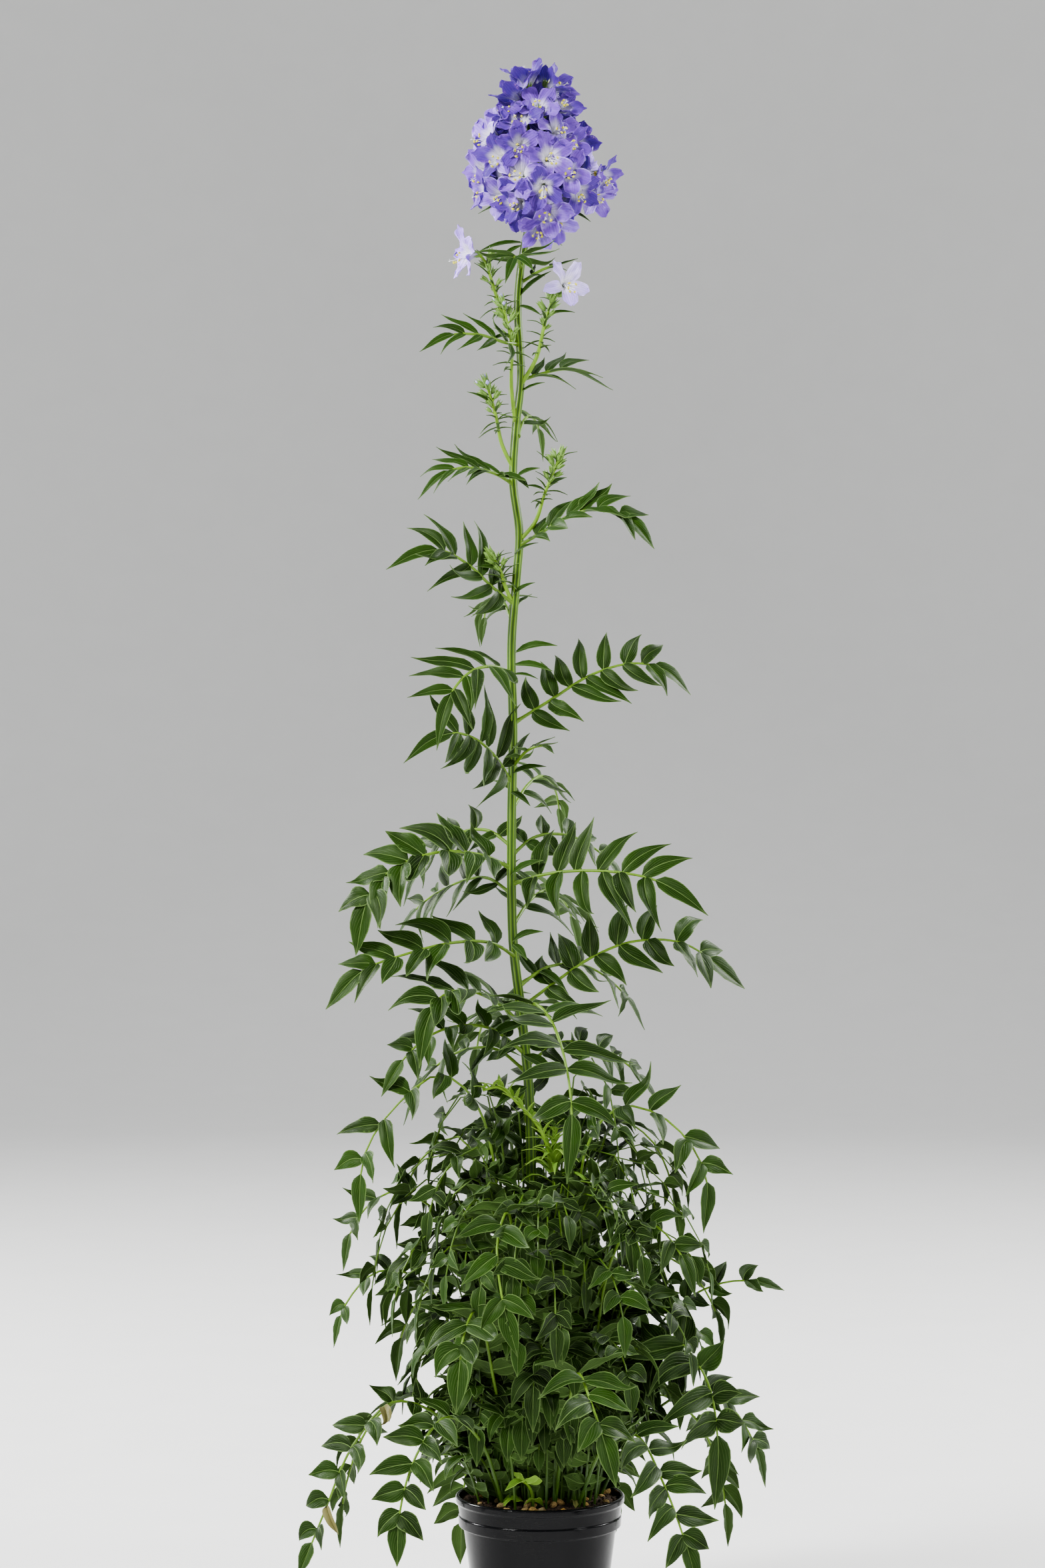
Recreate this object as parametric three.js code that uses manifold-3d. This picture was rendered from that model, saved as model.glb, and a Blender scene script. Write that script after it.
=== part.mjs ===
// A jacobs ladder in flower in a round nursery pot.
// Millimetres, +Z up, the front towards -Y, and the origin on the floor under the middle of the pot.
import * as THREE from "three";
import { mergeVertices } from "three/addons/utils/BufferGeometryUtils.js";
import Module from "manifold-3d";

const wasm = await Module();
wasm.setup();

// Clearance between separate pieces
const GAP = 0.3;
const CROSSING_GAP = 0.5;

// Pot
const POT_HEIGHT = 98;
const POT_WALL = 1.6;
const RIM_RADIUS = 53.5;
const RIM_LIP = 2.2;
const BAND_HEIGHT = 20;
const BAND_RADIUS = 51.5;
const BODY_TOP_RADIUS = 48.5;
const BASE_RADIUS = 37.5;
const BASE_THICKNESS = 2.4;
const RIM_HEIGHT = 4;
const POT_BEVEL = 0.8;
const BAND_FLARE = 0.8;
const POT_SIDES = 26;
const DRAIN_HOLES = 6;
const DRAIN_HOLE_RADIUS = 4;
const DRAIN_HOLE_SIDES = 8;
const DRAIN_CIRCLE_RADIUS = 24;

// Soil and its pebbles
const SOIL_LEVEL = 92;
const SOIL_CROWN = 2.5;
const PEBBLES = 10;
const PEBBLE_RADIUS = 3.6;
const PEBBLE_SHAPE = [1.15, 1, 0.75];
const ROOT_DEPTH = 12;

// Viewpoint from which the layout of the fronds and blooms is given
const EYE_DISTANCE = 2249;
const EYE_ACROSS = -11;
const EYE_HEIGHT = 545;

// Flowering stem
const STEM_FOOT_RADIUS = 3.2;
const STEM_TOP_RADIUS = 2;
const STEM_SIDES = 7;
const STEM_STEPS = 22;
const STALK_RADIUS = 1.2;
const STALK_STEPS = 4;
const STALK_SIDES = 4;
const BUD_LENGTH = 9;
const BUD_WIDTH = 3.2;
const BUD_SIDES = 4;
const BUDDED_SHARE = 0.3;
const FLOWER_STALK_BUDS = 0.86;

// Leafy shoot
const SHOOT_FOOT_RADIUS = 1.8;
const SHOOT_TOP_RADIUS = 1.3;
const SHOOT_STEPS = 8;
const SHOOT_SIDES = 6;
const ROSETTE_LEAVES = 8;
const ROSETTE_STEP = 1.6;
const ROSETTE_LEAF_WIDTH = 6;
const ROSETTE_SHORTEST = 15;
const ROSETTE_LONGEST = 27;

// Fronds
const RIB_HALF_WIDTH = 1.2;
const RIB_HALF_THICKNESS = 0.9;
const BLADE_HALF_THICKNESS = 0.36;
const LEAFLET_SWEEP_FOOT = 78;
const LEAFLET_SWEEP_TIP = 48;
const LEAFLET_LIFT = 14;
const LEAFLET_DROOP = 0.16;
const LEAFLET_SMALLEST = 0.72;
const LEAFLET_SWELL = 0.34;
const LEAFLET_FOOT = 0.24;
const LEAFLET_FOOT_LIMIT = 0.3;
const END_LEAFLET_LENGTH = 1.05;
const END_LEAFLET_BROADEST = 0.4;
const RIB_FOOT_WIDER = 1.15;
const RIB_TIP_SHARE = 0.75;
const PETIOLE_STEP = 44;
const REAR_UNEVEN = 0.06;

// Flower head
const HEAD_AXIS = -3;
const HEAD_FOOT = 890;
const HEAD_TOP = 984;
const BLOOM_RADIUS = 14.5;
const CORE_SHARE = 0.66;
const CORE_RINGS = 4;
const CORE_SIDES = 7;
const TUBE_SUNK = 3;
const PETALS = 5;
const PETAL_HALF_THICKNESS = 0.34;
const PETAL_DISH = 0.2;
const SHORTEST_TUBE = 0.8;
const BLOOMS_LEVEL_HEIGHT = 932;
const BLOOM_RISE = 0.75;
const BLOOM_TURN = 0.9;
const SIDE_BLOOM_SHARE = 0.95;
const SIDE_BLOOM_TURN = 0.3;

const GOLDEN_ANGLE = Math.PI * (3 - Math.sqrt(5));
const UP = new THREE.Vector3(0, 0, 1);

const colours = {
  pot: [0x0b0b0d, 0.22],
  soil: [0x3a2b20, 0.95],
  stem: [0x8fb35a, 0.5],
  frond: [0x4f7d3a, 0.5],
  petal: [0xa79be6, 0.6],
};

function material(kind) {
  const [color, roughness] = colours[kind];
  return new THREE.MeshStandardMaterial({ color, roughness, metalness: 0 });
}

const degrees = THREE.MathUtils.degToRad;
const lerp = THREE.MathUtils.lerp;

function toSolid(geometry) {
  geometry.deleteAttribute("normal");
  geometry.deleteAttribute("uv");
  const merged = mergeVertices(geometry, 1e-4);
  return new wasm.Manifold(
    new wasm.Mesh({
      numProp: 3,
      vertProperties: new Float32Array(merged.attributes.position.array),
      triVerts: new Uint32Array(merged.index.array),
    }),
  );
}

function toGeometry(solid) {
  const mesh = solid.getMesh();
  const geometry = new THREE.BufferGeometry();
  geometry.setAttribute("position", new THREE.BufferAttribute(mesh.vertProperties, 3));
  geometry.setIndex(new THREE.BufferAttribute(mesh.triVerts, 1));
  return geometry;
}

function joined(solids) {
  return wasm.Manifold.union(solids);
}

// The largest of the separate pieces that cutting leaves
function mainPiece(solid) {
  const pieces = solid.decompose();
  return pieces.reduce((most, piece) => (piece.volume() > most.volume() ? piece : most));
}

// A point given as it shows from the front, [across, height], at a depth behind the stem
function seen([across, height, depth]) {
  const scale = (EYE_DISTANCE + depth) / EYE_DISTANCE;
  return new THREE.Vector3(
    EYE_ACROSS + (across - EYE_ACROSS) * scale,
    depth,
    EYE_HEIGHT + (height - EYE_HEIGHT) * scale,
  );
}

// A straight extruded rod of unit section, bent along a curve, tapered and lengthened at both ends
function bentRod(curve, steps, sides, radiusAt, longer = 0) {
  const section = new THREE.Shape();
  for (let side = 0; side < sides; side += 1) {
    const turn = (2 * Math.PI * side) / sides;
    const place = [Math.cos(turn), Math.sin(turn)];
    if (side === 0) section.moveTo(...place);
    else section.lineTo(...place);
  }
  const rod = new THREE.ExtrudeGeometry(section, { depth: 1, steps, bevelEnabled: false });
  const frames = curve.computeFrenetFrames(steps, false);
  const position = rod.attributes.position;
  const point = new THREE.Vector3();
  for (let index = 0; index < position.count; index += 1) {
    const step = Math.round(position.getZ(index) * steps);
    const radius = radiusAt(step / steps);
    point.copy(curve.getPointAt(step / steps));
    if (step === 0) point.addScaledVector(frames.tangents[step], -longer);
    if (step === steps) point.addScaledVector(frames.tangents[step], longer);
    point.addScaledVector(frames.normals[step], position.getX(index) * radius);
    point.addScaledVector(frames.binormals[step], position.getY(index) * radius);
    position.setXYZ(index, point.x, point.y, point.z);
  }
  return toSolid(rod);
}

// A thin plate from vertices with a place, a normal and a half thickness. The same triangles are on both faces,
// and the rim goes round the outline. A vertex with a place under it has its lower corner there.
function plate(vertices, triangles, outline) {
  const count = vertices.length;
  const positions = [];
  for (const side of [1, -1]) {
    for (const { place, normal, half, under } of vertices) {
      const point = side < 0 && under ? under : place.clone().addScaledVector(normal, side * half);
      positions.push(point.x, point.y, point.z);
    }
  }
  const index = [];
  for (const [a, b, c] of triangles) {
    index.push(a, b, c, count + a, count + c, count + b);
  }
  outline.forEach((from, place) => {
    const to = outline[(place + 1) % outline.length];
    index.push(from, count + from, count + to, from, count + to, to);
  });
  const geometry = new THREE.BufferGeometry();
  geometry.setAttribute("position", new THREE.BufferAttribute(new Float32Array(positions), 3));
  geometry.setIndex(index);
  return toSolid(geometry);
}

// Directions on a frond at a fraction of its rib: along it, across to its right and out of its upper face
function frameOf(curve, fraction, tilt) {
  const along = curve.getTangentAt(fraction);
  const heading = curve.getPointAt(1).sub(curve.getPointAt(0)).setZ(0).normalize();
  const level = new THREE.Vector3(heading.y, -heading.x, 0);
  level.addScaledVector(along, -level.dot(along)).normalize();
  const face = new THREE.Vector3().crossVectors(level, along);
  const roll = degrees(tilt) * (heading.x > 0 ? -1 : 1);
  const across = level.clone().multiplyScalar(Math.cos(roll)).addScaledVector(face, Math.sin(roll));
  const normal = face.clone().multiplyScalar(Math.cos(roll)).addScaledVector(level, -Math.sin(roll));
  return { origin: curve.getPointAt(fraction), along, across, normal };
}

// Length of a leaflet by its place on the rib, from 0 at the lowest pair to 1 at the last
function leafletProfile(place) {
  return LEAFLET_SMALLEST + LEAFLET_SWELL * Math.sin(Math.PI * Math.min(1, 0.12 + 0.8 * place));
}

// A leaflet's two outer points, out along it and aside by its width: its shoulder, towards the foot of the frond,
// and its tip
const leafletOutline = [
  [0.46, -0.68],
  [1, 0],
];

// One frond as an arched plate, with leaflets cut to the rib. grow makes it larger all round.
function frondSolid(frond, grow = 0) {
  const { points, pairs, leaflet, width, tilt = 45, start = 0.08 } = frond;
  const curve = new THREE.CatmullRomCurve3(points.map(seen));
  const length = curve.getLength();
  const end = 1 - (END_LEAFLET_LENGTH * leaflet) / length;
  const ribHalfWidth = RIB_HALF_WIDTH + grow;
  const ribHalf = RIB_HALF_THICKNESS + grow;
  const bladeHalf = BLADE_HALF_THICKNESS + grow;
  const vertices = [];
  const triangles = [];
  const right = [];
  const left = [];

  const addVertex = (place, normal, half) => vertices.push({ place, normal, half }) - 1;
  const ribStation = (fraction, narrow = 1) => {
    const { origin, along, across, normal } = frameOf(curve, fraction, tilt);
    if (fraction === 0) origin.addScaledVector(along, -grow);
    return [1, -1].map((side) =>
      addVertex(origin.clone().addScaledVector(across, side * ribHalfWidth * narrow), normal, ribHalf),
    );
  };
  const leafletPoints = (fraction, side, size, broad, sweep) => {
    const { origin, along, across, normal } = frameOf(curve, fraction, tilt);
    const lift = degrees(LEAFLET_LIFT) * side;
    const out = across.clone().multiplyScalar(side * Math.cos(lift));
    out.addScaledVector(normal, Math.abs(Math.sin(lift)));
    const face = normal.clone().multiplyScalar(Math.cos(lift));
    face.addScaledVector(across, -side * Math.abs(Math.sin(lift)));
    const axis = out.clone().multiplyScalar(Math.sin(sweep)).addScaledVector(along, Math.cos(sweep));
    const broadside = along.clone().multiplyScalar(Math.sin(sweep)).addScaledVector(out, -Math.cos(sweep));
    return leafletOutline.map(([outward, aside]) => {
      const place = origin.clone();
      place.addScaledVector(axis, outward * size + (outward === 1 ? grow : 0));
      place.addScaledVector(broadside, aside * (broad + 2 * grow));
      place.addScaledVector(face, -LEAFLET_DROOP * size * outward * outward);
      return addVertex(place, face, bladeHalf);
    });
  };

  const petioleSteps = Math.max(1, Math.round((start * length) / PETIOLE_STEP));
  let before = ribStation(0, RIB_FOOT_WIDER);
  right.push(before[0]);
  left.push(before[1]);
  for (let step = 1; step <= petioleSteps; step += 1) {
    const station = ribStation((start * step) / petioleSteps);
    triangles.push([before[0], station[0], station[1]], [before[0], station[1], before[1]]);
    right.push(station[0]);
    left.push(station[1]);
    before = station;
  }
  const pitch = (end - start) / pairs;
  for (let pair = 0; pair < pairs; pair += 1) {
    const place = pairs > 1 ? pair / (pairs - 1) : 0.5;
    const size = leaflet * leafletProfile(place);
    const sweep = degrees(lerp(LEAFLET_SWEEP_FOOT, LEAFLET_SWEEP_TIP, place));
    const middle = start + (pair + 0.5) * pitch;
    const footHalf = Math.min((LEAFLET_FOOT * width) / length, LEAFLET_FOOT_LIMIT * pitch);
    const narrow = lerp(1, RIB_TIP_SHARE, place);
    const rear = ribStation(middle - footHalf, narrow);
    const front = ribStation(middle + footHalf, narrow);
    triangles.push([before[0], rear[0], rear[1]], [before[0], rear[1], before[1]]);
    triangles.push([rear[0], front[0], front[1]], [rear[0], front[1], rear[1]]);
    [right, left].forEach((edge, which) => {
      const [shoulder, tip] = leafletPoints(middle, which === 0 ? 1 : -1, size, width, sweep);
      const faces = [
        [rear[which], shoulder, tip],
        [rear[which], tip, front[which]],
      ];
      triangles.push(...(which === 0 ? faces : faces.map(([a, b, c]) => [a, c, b])));
      edge.push(rear[which], shoulder, tip, front[which]);
    });
    before = front;
  }
  const last = frameOf(curve, end, tilt);
  const reach = curve.getPointAt(1).sub(last.origin);
  const middleOfTip = frameOf(curve, lerp(end, 1, END_LEAFLET_BROADEST), tilt);
  const broad = middleOfTip.across.clone().multiplyScalar(width * 0.5 + grow);
  const tipRight = addVertex(middleOfTip.origin.clone().add(broad), middleOfTip.normal, bladeHalf);
  const tipLeft = addVertex(middleOfTip.origin.clone().sub(broad), middleOfTip.normal, bladeHalf);
  const tipPlace = last.origin.clone().add(reach).addScaledVector(reach.clone().normalize(), grow);
  const tipEnd = addVertex(tipPlace, frameOf(curve, 1, tilt).normal, bladeHalf);
  triangles.push([before[0], tipRight, tipLeft], [before[0], tipLeft, before[1]], [tipRight, tipEnd, tipLeft]);
  right.push(tipRight, tipEnd, tipLeft);
  return plate(vertices, triangles, [...right, ...left.reverse()]);
}

// Outline of a bract or small leaf, out along it and aside by its width
const bladeOutline = [
  [0, -0.3],
  [0.4, -0.5],
  [1, 0],
  [0.4, 0.5],
  [0, 0.3],
];

// A slim blade from its foot, for bracts and small leaves
function smallBlade(foot, direction, length, width, facing, grow = 0) {
  const axis = direction.clone().normalize();
  const across = new THREE.Vector3().crossVectors(axis, facing).normalize();
  const normal = new THREE.Vector3().crossVectors(across, axis);
  const half = BLADE_HALF_THICKNESS + grow;
  const vertices = bladeOutline.map(([out, aside]) => ({
    place: foot
      .clone()
      .addScaledVector(axis, out * (length + 2 * grow) - grow)
      .addScaledVector(across, -aside * (width + 2 * grow)),
    normal,
    half,
  }));
  const triangles = [
    [0, 1, 4],
    [1, 3, 4],
    [1, 2, 3],
  ];
  return plate(vertices, triangles, [0, 1, 2, 3, 4]);
}

function placed(geometry, place, direction) {
  const turn = new THREE.Quaternion().setFromUnitVectors(UP, direction.clone().normalize());
  geometry.applyQuaternion(turn);
  geometry.translate(place.x, place.y, place.z);
  return toSolid(geometry);
}

// A closed bud that widens from a slim foot, sunk in what carries it, to its calyx
function bud(foot, direction, scale = 1) {
  const profile = [
    [0, -0.1],
    [0.5, 0.66],
    [0, 1],
  ].map(([radius, height]) => new THREE.Vector2(radius * BUD_WIDTH * scale, height * BUD_LENGTH * scale));
  const shape = new THREE.LatheGeometry(profile, BUD_SIDES);
  shape.rotateX(Math.PI / 2);
  return placed(shape, foot, direction);
}

// Outline of a petal from one notch towards the next: angle in degrees, and distance out and rise by the radius
const petalOutline = [
  [-36, 0.36, -0.02],
  [-15, 0.98, 0.2],
  [15, 0.98, 0.2],
];

// Five joined petals, whose back narrows to the foot of a tube of the length given
function bloom(centre, direction, radius, turn, tube) {
  const axis = direction.clone().normalize();
  const side = new THREE.Vector3().crossVectors(UP, axis);
  if (side.lengthSq() < 0.01) side.set(1, 0, 0);
  side.normalize();
  const over = new THREE.Vector3().crossVectors(axis, side);
  const point = (angle, out, rise) =>
    centre
      .clone()
      .addScaledVector(side, Math.cos(angle) * out * radius)
      .addScaledVector(over, Math.sin(angle) * out * radius)
      .addScaledVector(axis, rise * radius);
  const half = PETAL_HALF_THICKNESS;
  const vertices = [{ place: point(0, 0, -PETAL_DISH), normal: axis, half, under: point(0, 0, -tube / radius) }];
  const outline = [];
  const triangles = [];
  for (let number = 0; number < PETALS; number += 1) {
    const notch = 1 + petalOutline.length * number;
    const next = 1 + petalOutline.length * ((number + 1) % PETALS);
    for (const [aside, out, rise] of petalOutline) {
      const angle = turn + degrees((360 / PETALS) * number + aside);
      outline.push(vertices.length);
      vertices.push({ place: point(angle, out, rise), normal: axis, half });
    }
    triangles.push([0, notch, next], [notch, notch + 1, notch + 2], [notch, notch + 2, next]);
  }
  return plate(vertices, triangles, outline);
}

// Pot
function potProfile() {
  const bandFoot = POT_HEIGHT - BAND_HEIGHT;
  return [
    [0, 0],
    [BASE_RADIUS, 0],
    [BASE_RADIUS + POT_BEVEL, POT_BEVEL],
    [BODY_TOP_RADIUS, bandFoot],
    [BAND_RADIUS, bandFoot + 1],
    [BAND_RADIUS + BAND_FLARE, POT_HEIGHT - RIM_HEIGHT - 1],
    [RIM_RADIUS, POT_HEIGHT - RIM_HEIGHT],
    [RIM_RADIUS, POT_HEIGHT - POT_BEVEL],
    [RIM_RADIUS - POT_BEVEL, POT_HEIGHT],
    [RIM_RADIUS - RIM_LIP, POT_HEIGHT],
    [BAND_RADIUS - POT_WALL, bandFoot + 2],
    [BODY_TOP_RADIUS - POT_WALL, bandFoot - 1],
    [BASE_RADIUS - POT_WALL, BASE_THICKNESS],
    [0, BASE_THICKNESS],
  ].map(([radius, height]) => new THREE.Vector2(radius, height));
}

function latheSolid(profile, sides) {
  const geometry = new THREE.LatheGeometry(profile, sides);
  geometry.rotateX(Math.PI / 2);
  return toSolid(geometry);
}

function makePot() {
  let pot = latheSolid(potProfile(), POT_SIDES);
  for (let hole = 0; hole < DRAIN_HOLES; hole += 1) {
    const turn = (2 * Math.PI * hole) / DRAIN_HOLES;
    const drill = new THREE.CylinderGeometry(
      DRAIN_HOLE_RADIUS,
      DRAIN_HOLE_RADIUS,
      3 * BASE_THICKNESS,
      DRAIN_HOLE_SIDES,
    );
    drill.rotateX(Math.PI / 2);
    drill.translate(DRAIN_CIRCLE_RADIUS * Math.cos(turn), DRAIN_CIRCLE_RADIUS * Math.sin(turn), 0);
    pot = pot.subtract(toSolid(drill));
  }
  return pot;
}

// Soil that fills the pot, with pebbles on it and a hole for each stalk that stands in it
function makeSoil(stalks) {
  const bandFoot = POT_HEIGHT - BAND_HEIGHT;
  const wallAt = (height) => {
    const lower = height < bandFoot - 1;
    const from = lower ? [BASE_RADIUS, BASE_THICKNESS] : [BAND_RADIUS, bandFoot + 2];
    const to = lower ? [BODY_TOP_RADIUS, bandFoot - 1] : [RIM_RADIUS - RIM_LIP + POT_WALL, POT_HEIGHT];
    return lerp(from[0], to[0], (height - from[1]) / (to[1] - from[1])) - POT_WALL - 2 * GAP;
  };
  const foot = BASE_THICKNESS + GAP;
  const profile = [
    [0, foot],
    [wallAt(foot), foot],
    [wallAt(bandFoot - 2), bandFoot - 2],
    [wallAt(bandFoot + 3), bandFoot + 3],
    [wallAt(SOIL_LEVEL), SOIL_LEVEL],
    [0, SOIL_LEVEL + SOIL_CROWN],
  ].map(([radius, height]) => new THREE.Vector2(radius, height));
  const parts = [latheSolid(profile, POT_SIDES)];
  for (let pebble = 0; pebble < PEBBLES; pebble += 1) {
    const spread = Math.sqrt((pebble + 0.5) / PEBBLES);
    const radius = spread * (wallAt(SOIL_LEVEL) - 2 * PEBBLE_RADIUS);
    const turn = pebble * GOLDEN_ANGLE;
    const size = PEBBLE_RADIUS * (0.75 + 0.35 * Math.sin(pebble * 2.3));
    const shape = new THREE.IcosahedronGeometry(size, 0);
    shape.rotateX(pebble);
    shape.rotateZ(2 * pebble);
    shape.scale(...PEBBLE_SHAPE);
    const level = SOIL_LEVEL + SOIL_CROWN * (1 - spread);
    shape.translate(radius * Math.cos(turn), radius * Math.sin(turn), level);
    parts.push(toSolid(shape));
  }
  return joined(parts).subtract(joined(stalks));
}

// Flowering stem, by points [across, height, depth]
const stemPoints = [
  [-4, SOIL_LEVEL - ROOT_DEPTH, 0],
  [-4, 160, 0],
  [-5, 241, 0],
  [-7, 351, 0],
  [-12, 402, 0],
  [-17, 446, 0],
  [-18, 515, 0],
  [-17, 579, 0],
  [-18, 632, 0],
  [-15, 673, 0],
  [-13, 703, 0],
  [-17, 736, 0],
  [-15, 772, 0],
  [-12, 801, 0],
  [-14, 846, 0],
  [-12, 871, 0],
  [-8, 892, 0],
  [HEAD_AXIS, 908, 0],
];

function stemCurve() {
  return new THREE.CatmullRomCurve3(stemPoints.map(seen));
}

function stemSolid(grow = 0) {
  const radiusAt = (place) => lerp(STEM_FOOT_RADIUS, STEM_TOP_RADIUS, place) + grow;
  return bentRod(stemCurve(), STEM_STEPS, STEM_SIDES, radiusAt, grow);
}

// Side stalks of the stem, with how many buds each carries and whether it ends in an open flower
const sideStalks = [
  { points: [[-15, 823, 0], [-24, 842, -4], [-31, 864, -6], [-34.5, 874, -6.5], [-38.6, 878.4, -7.4]], buds: 4,
    flower: true },
  { points: [[-15, 768, 0], [-18, 795, -5], [-18, 822, -7], [-23, 846, -8]], buds: 5 },
  { points: [[-12, 796, 0], [-2, 814, -5], [3, 835, -8], [8, 850, -7], [14.8, 857.4, -5.1]], buds: 5,
    flower: true },
  { points: [[-16, 742, 0], [-24, 759, -4], [-28, 778, -7], [-33, 795, -8]], buds: 5 },
  { points: [[-13, 698, 0], [-3, 710, -4], [3, 728, -6], [12, 750, -7]], buds: 5 },
  { points: [[-17, 658, 0], [-22, 670, -5], [-25, 680, -8], [-29, 687, -9]], buds: 5 },
];

// Narrow bract leaves on the stem and its stalks: foot, tip and width
const bracts = [
  [[-12, 886, -1], [-39, 880, -6], 5],
  [[-6, 893, -2], [14, 884, -8], 4],
  [[-14, 858, 0], [3, 868, -8], 4],
  [[-14, 846, 0], [1, 840, -12], 4],
  [[4, 840, -8], [22, 842, -12], 4],
  [[-12, 792, 0], [3, 798, -9], 4],
  [[-29, 782, -7], [-46, 792, -14], 4],
  [[-18, 828, -7], [-34, 822, -12], 4],
  [[3, 730, -6], [-9, 733, -14], 4],
  [[5, 733, -6], [17, 738, 2], 4],
  [[-25, 680, -8], [-41, 682, -12], 4],
];

function stalkCurve(points) {
  return new THREE.CatmullRomCurve3(points.map(seen));
}

function sideStalk({ points, buds, flower = false }) {
  const curve = stalkCurve(points);
  const parts = [bentRod(curve, STALK_STEPS, STALK_SIDES, (place) => STALK_RADIUS * lerp(1.1, 0.8, place))];
  for (let number = 0; number < buds; number += 1) {
    const place = (flower ? FLOWER_STALK_BUDS : 1) - (BUDDED_SHARE * number) / buds;
    const turn = number * GOLDEN_ANGLE;
    const lean = number === 0 && !flower ? 0 : 1;
    const aside = new THREE.Vector3(Math.cos(turn), Math.sin(turn), 0);
    const direction = curve.getTangentAt(place).addScaledVector(aside, lean);
    parts.push(bud(curve.getPointAt(place), direction, number % 3 === 0 ? 1 : 0.8));
  }
  return joined(parts);
}

function bract([foot, tip, width], grow = 0) {
  const from = seen(foot);
  const direction = seen(tip).sub(from);
  return smallBlade(from, direction, direction.length(), width, new THREE.Vector3(0, -0.6, 0.8), grow);
}

function makeFlowerStem() {
  return mainPiece(joined([stemSolid(), ...sideStalks.map(sideStalk), ...bracts.map((leaf) => bract(leaf))]));
}

// Second, shorter shoot with a rosette of narrow leaves at its tip
const shootPoints = [
  [7, SOIL_LEVEL - ROOT_DEPTH, -6],
  [9, 160, -8],
  [10, 240, -10],
  [9, 322, -10],
];

function shootSolid(grow = 0) {
  const radiusAt = (place) => lerp(SHOOT_FOOT_RADIUS, SHOOT_TOP_RADIUS, place) + grow;
  return bentRod(stalkCurve(shootPoints), SHOOT_STEPS, SHOOT_SIDES, radiusAt, grow);
}

function makeLeafyShoot() {
  const top = seen(shootPoints[shootPoints.length - 1]);
  const parts = [shootSolid()];
  for (let leaf = 0; leaf < ROSETTE_LEAVES; leaf += 1) {
    const turn = leaf * GOLDEN_ANGLE;
    const place = leaf / ROSETTE_LEAVES;
    const direction = new THREE.Vector3(Math.cos(turn), Math.sin(turn), lerp(1.6, 0.1, place));
    const foot = top.clone().addScaledVector(UP, -leaf * ROSETTE_STEP - 1);
    parts.push(smallBlade(foot, direction, lerp(ROSETTE_SHORTEST, ROSETTE_LONGEST, place), ROSETTE_LEAF_WIDTH, UP));
  }
  return mainPiece(joined(parts).subtract(stemSolid(GAP)));
}

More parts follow.
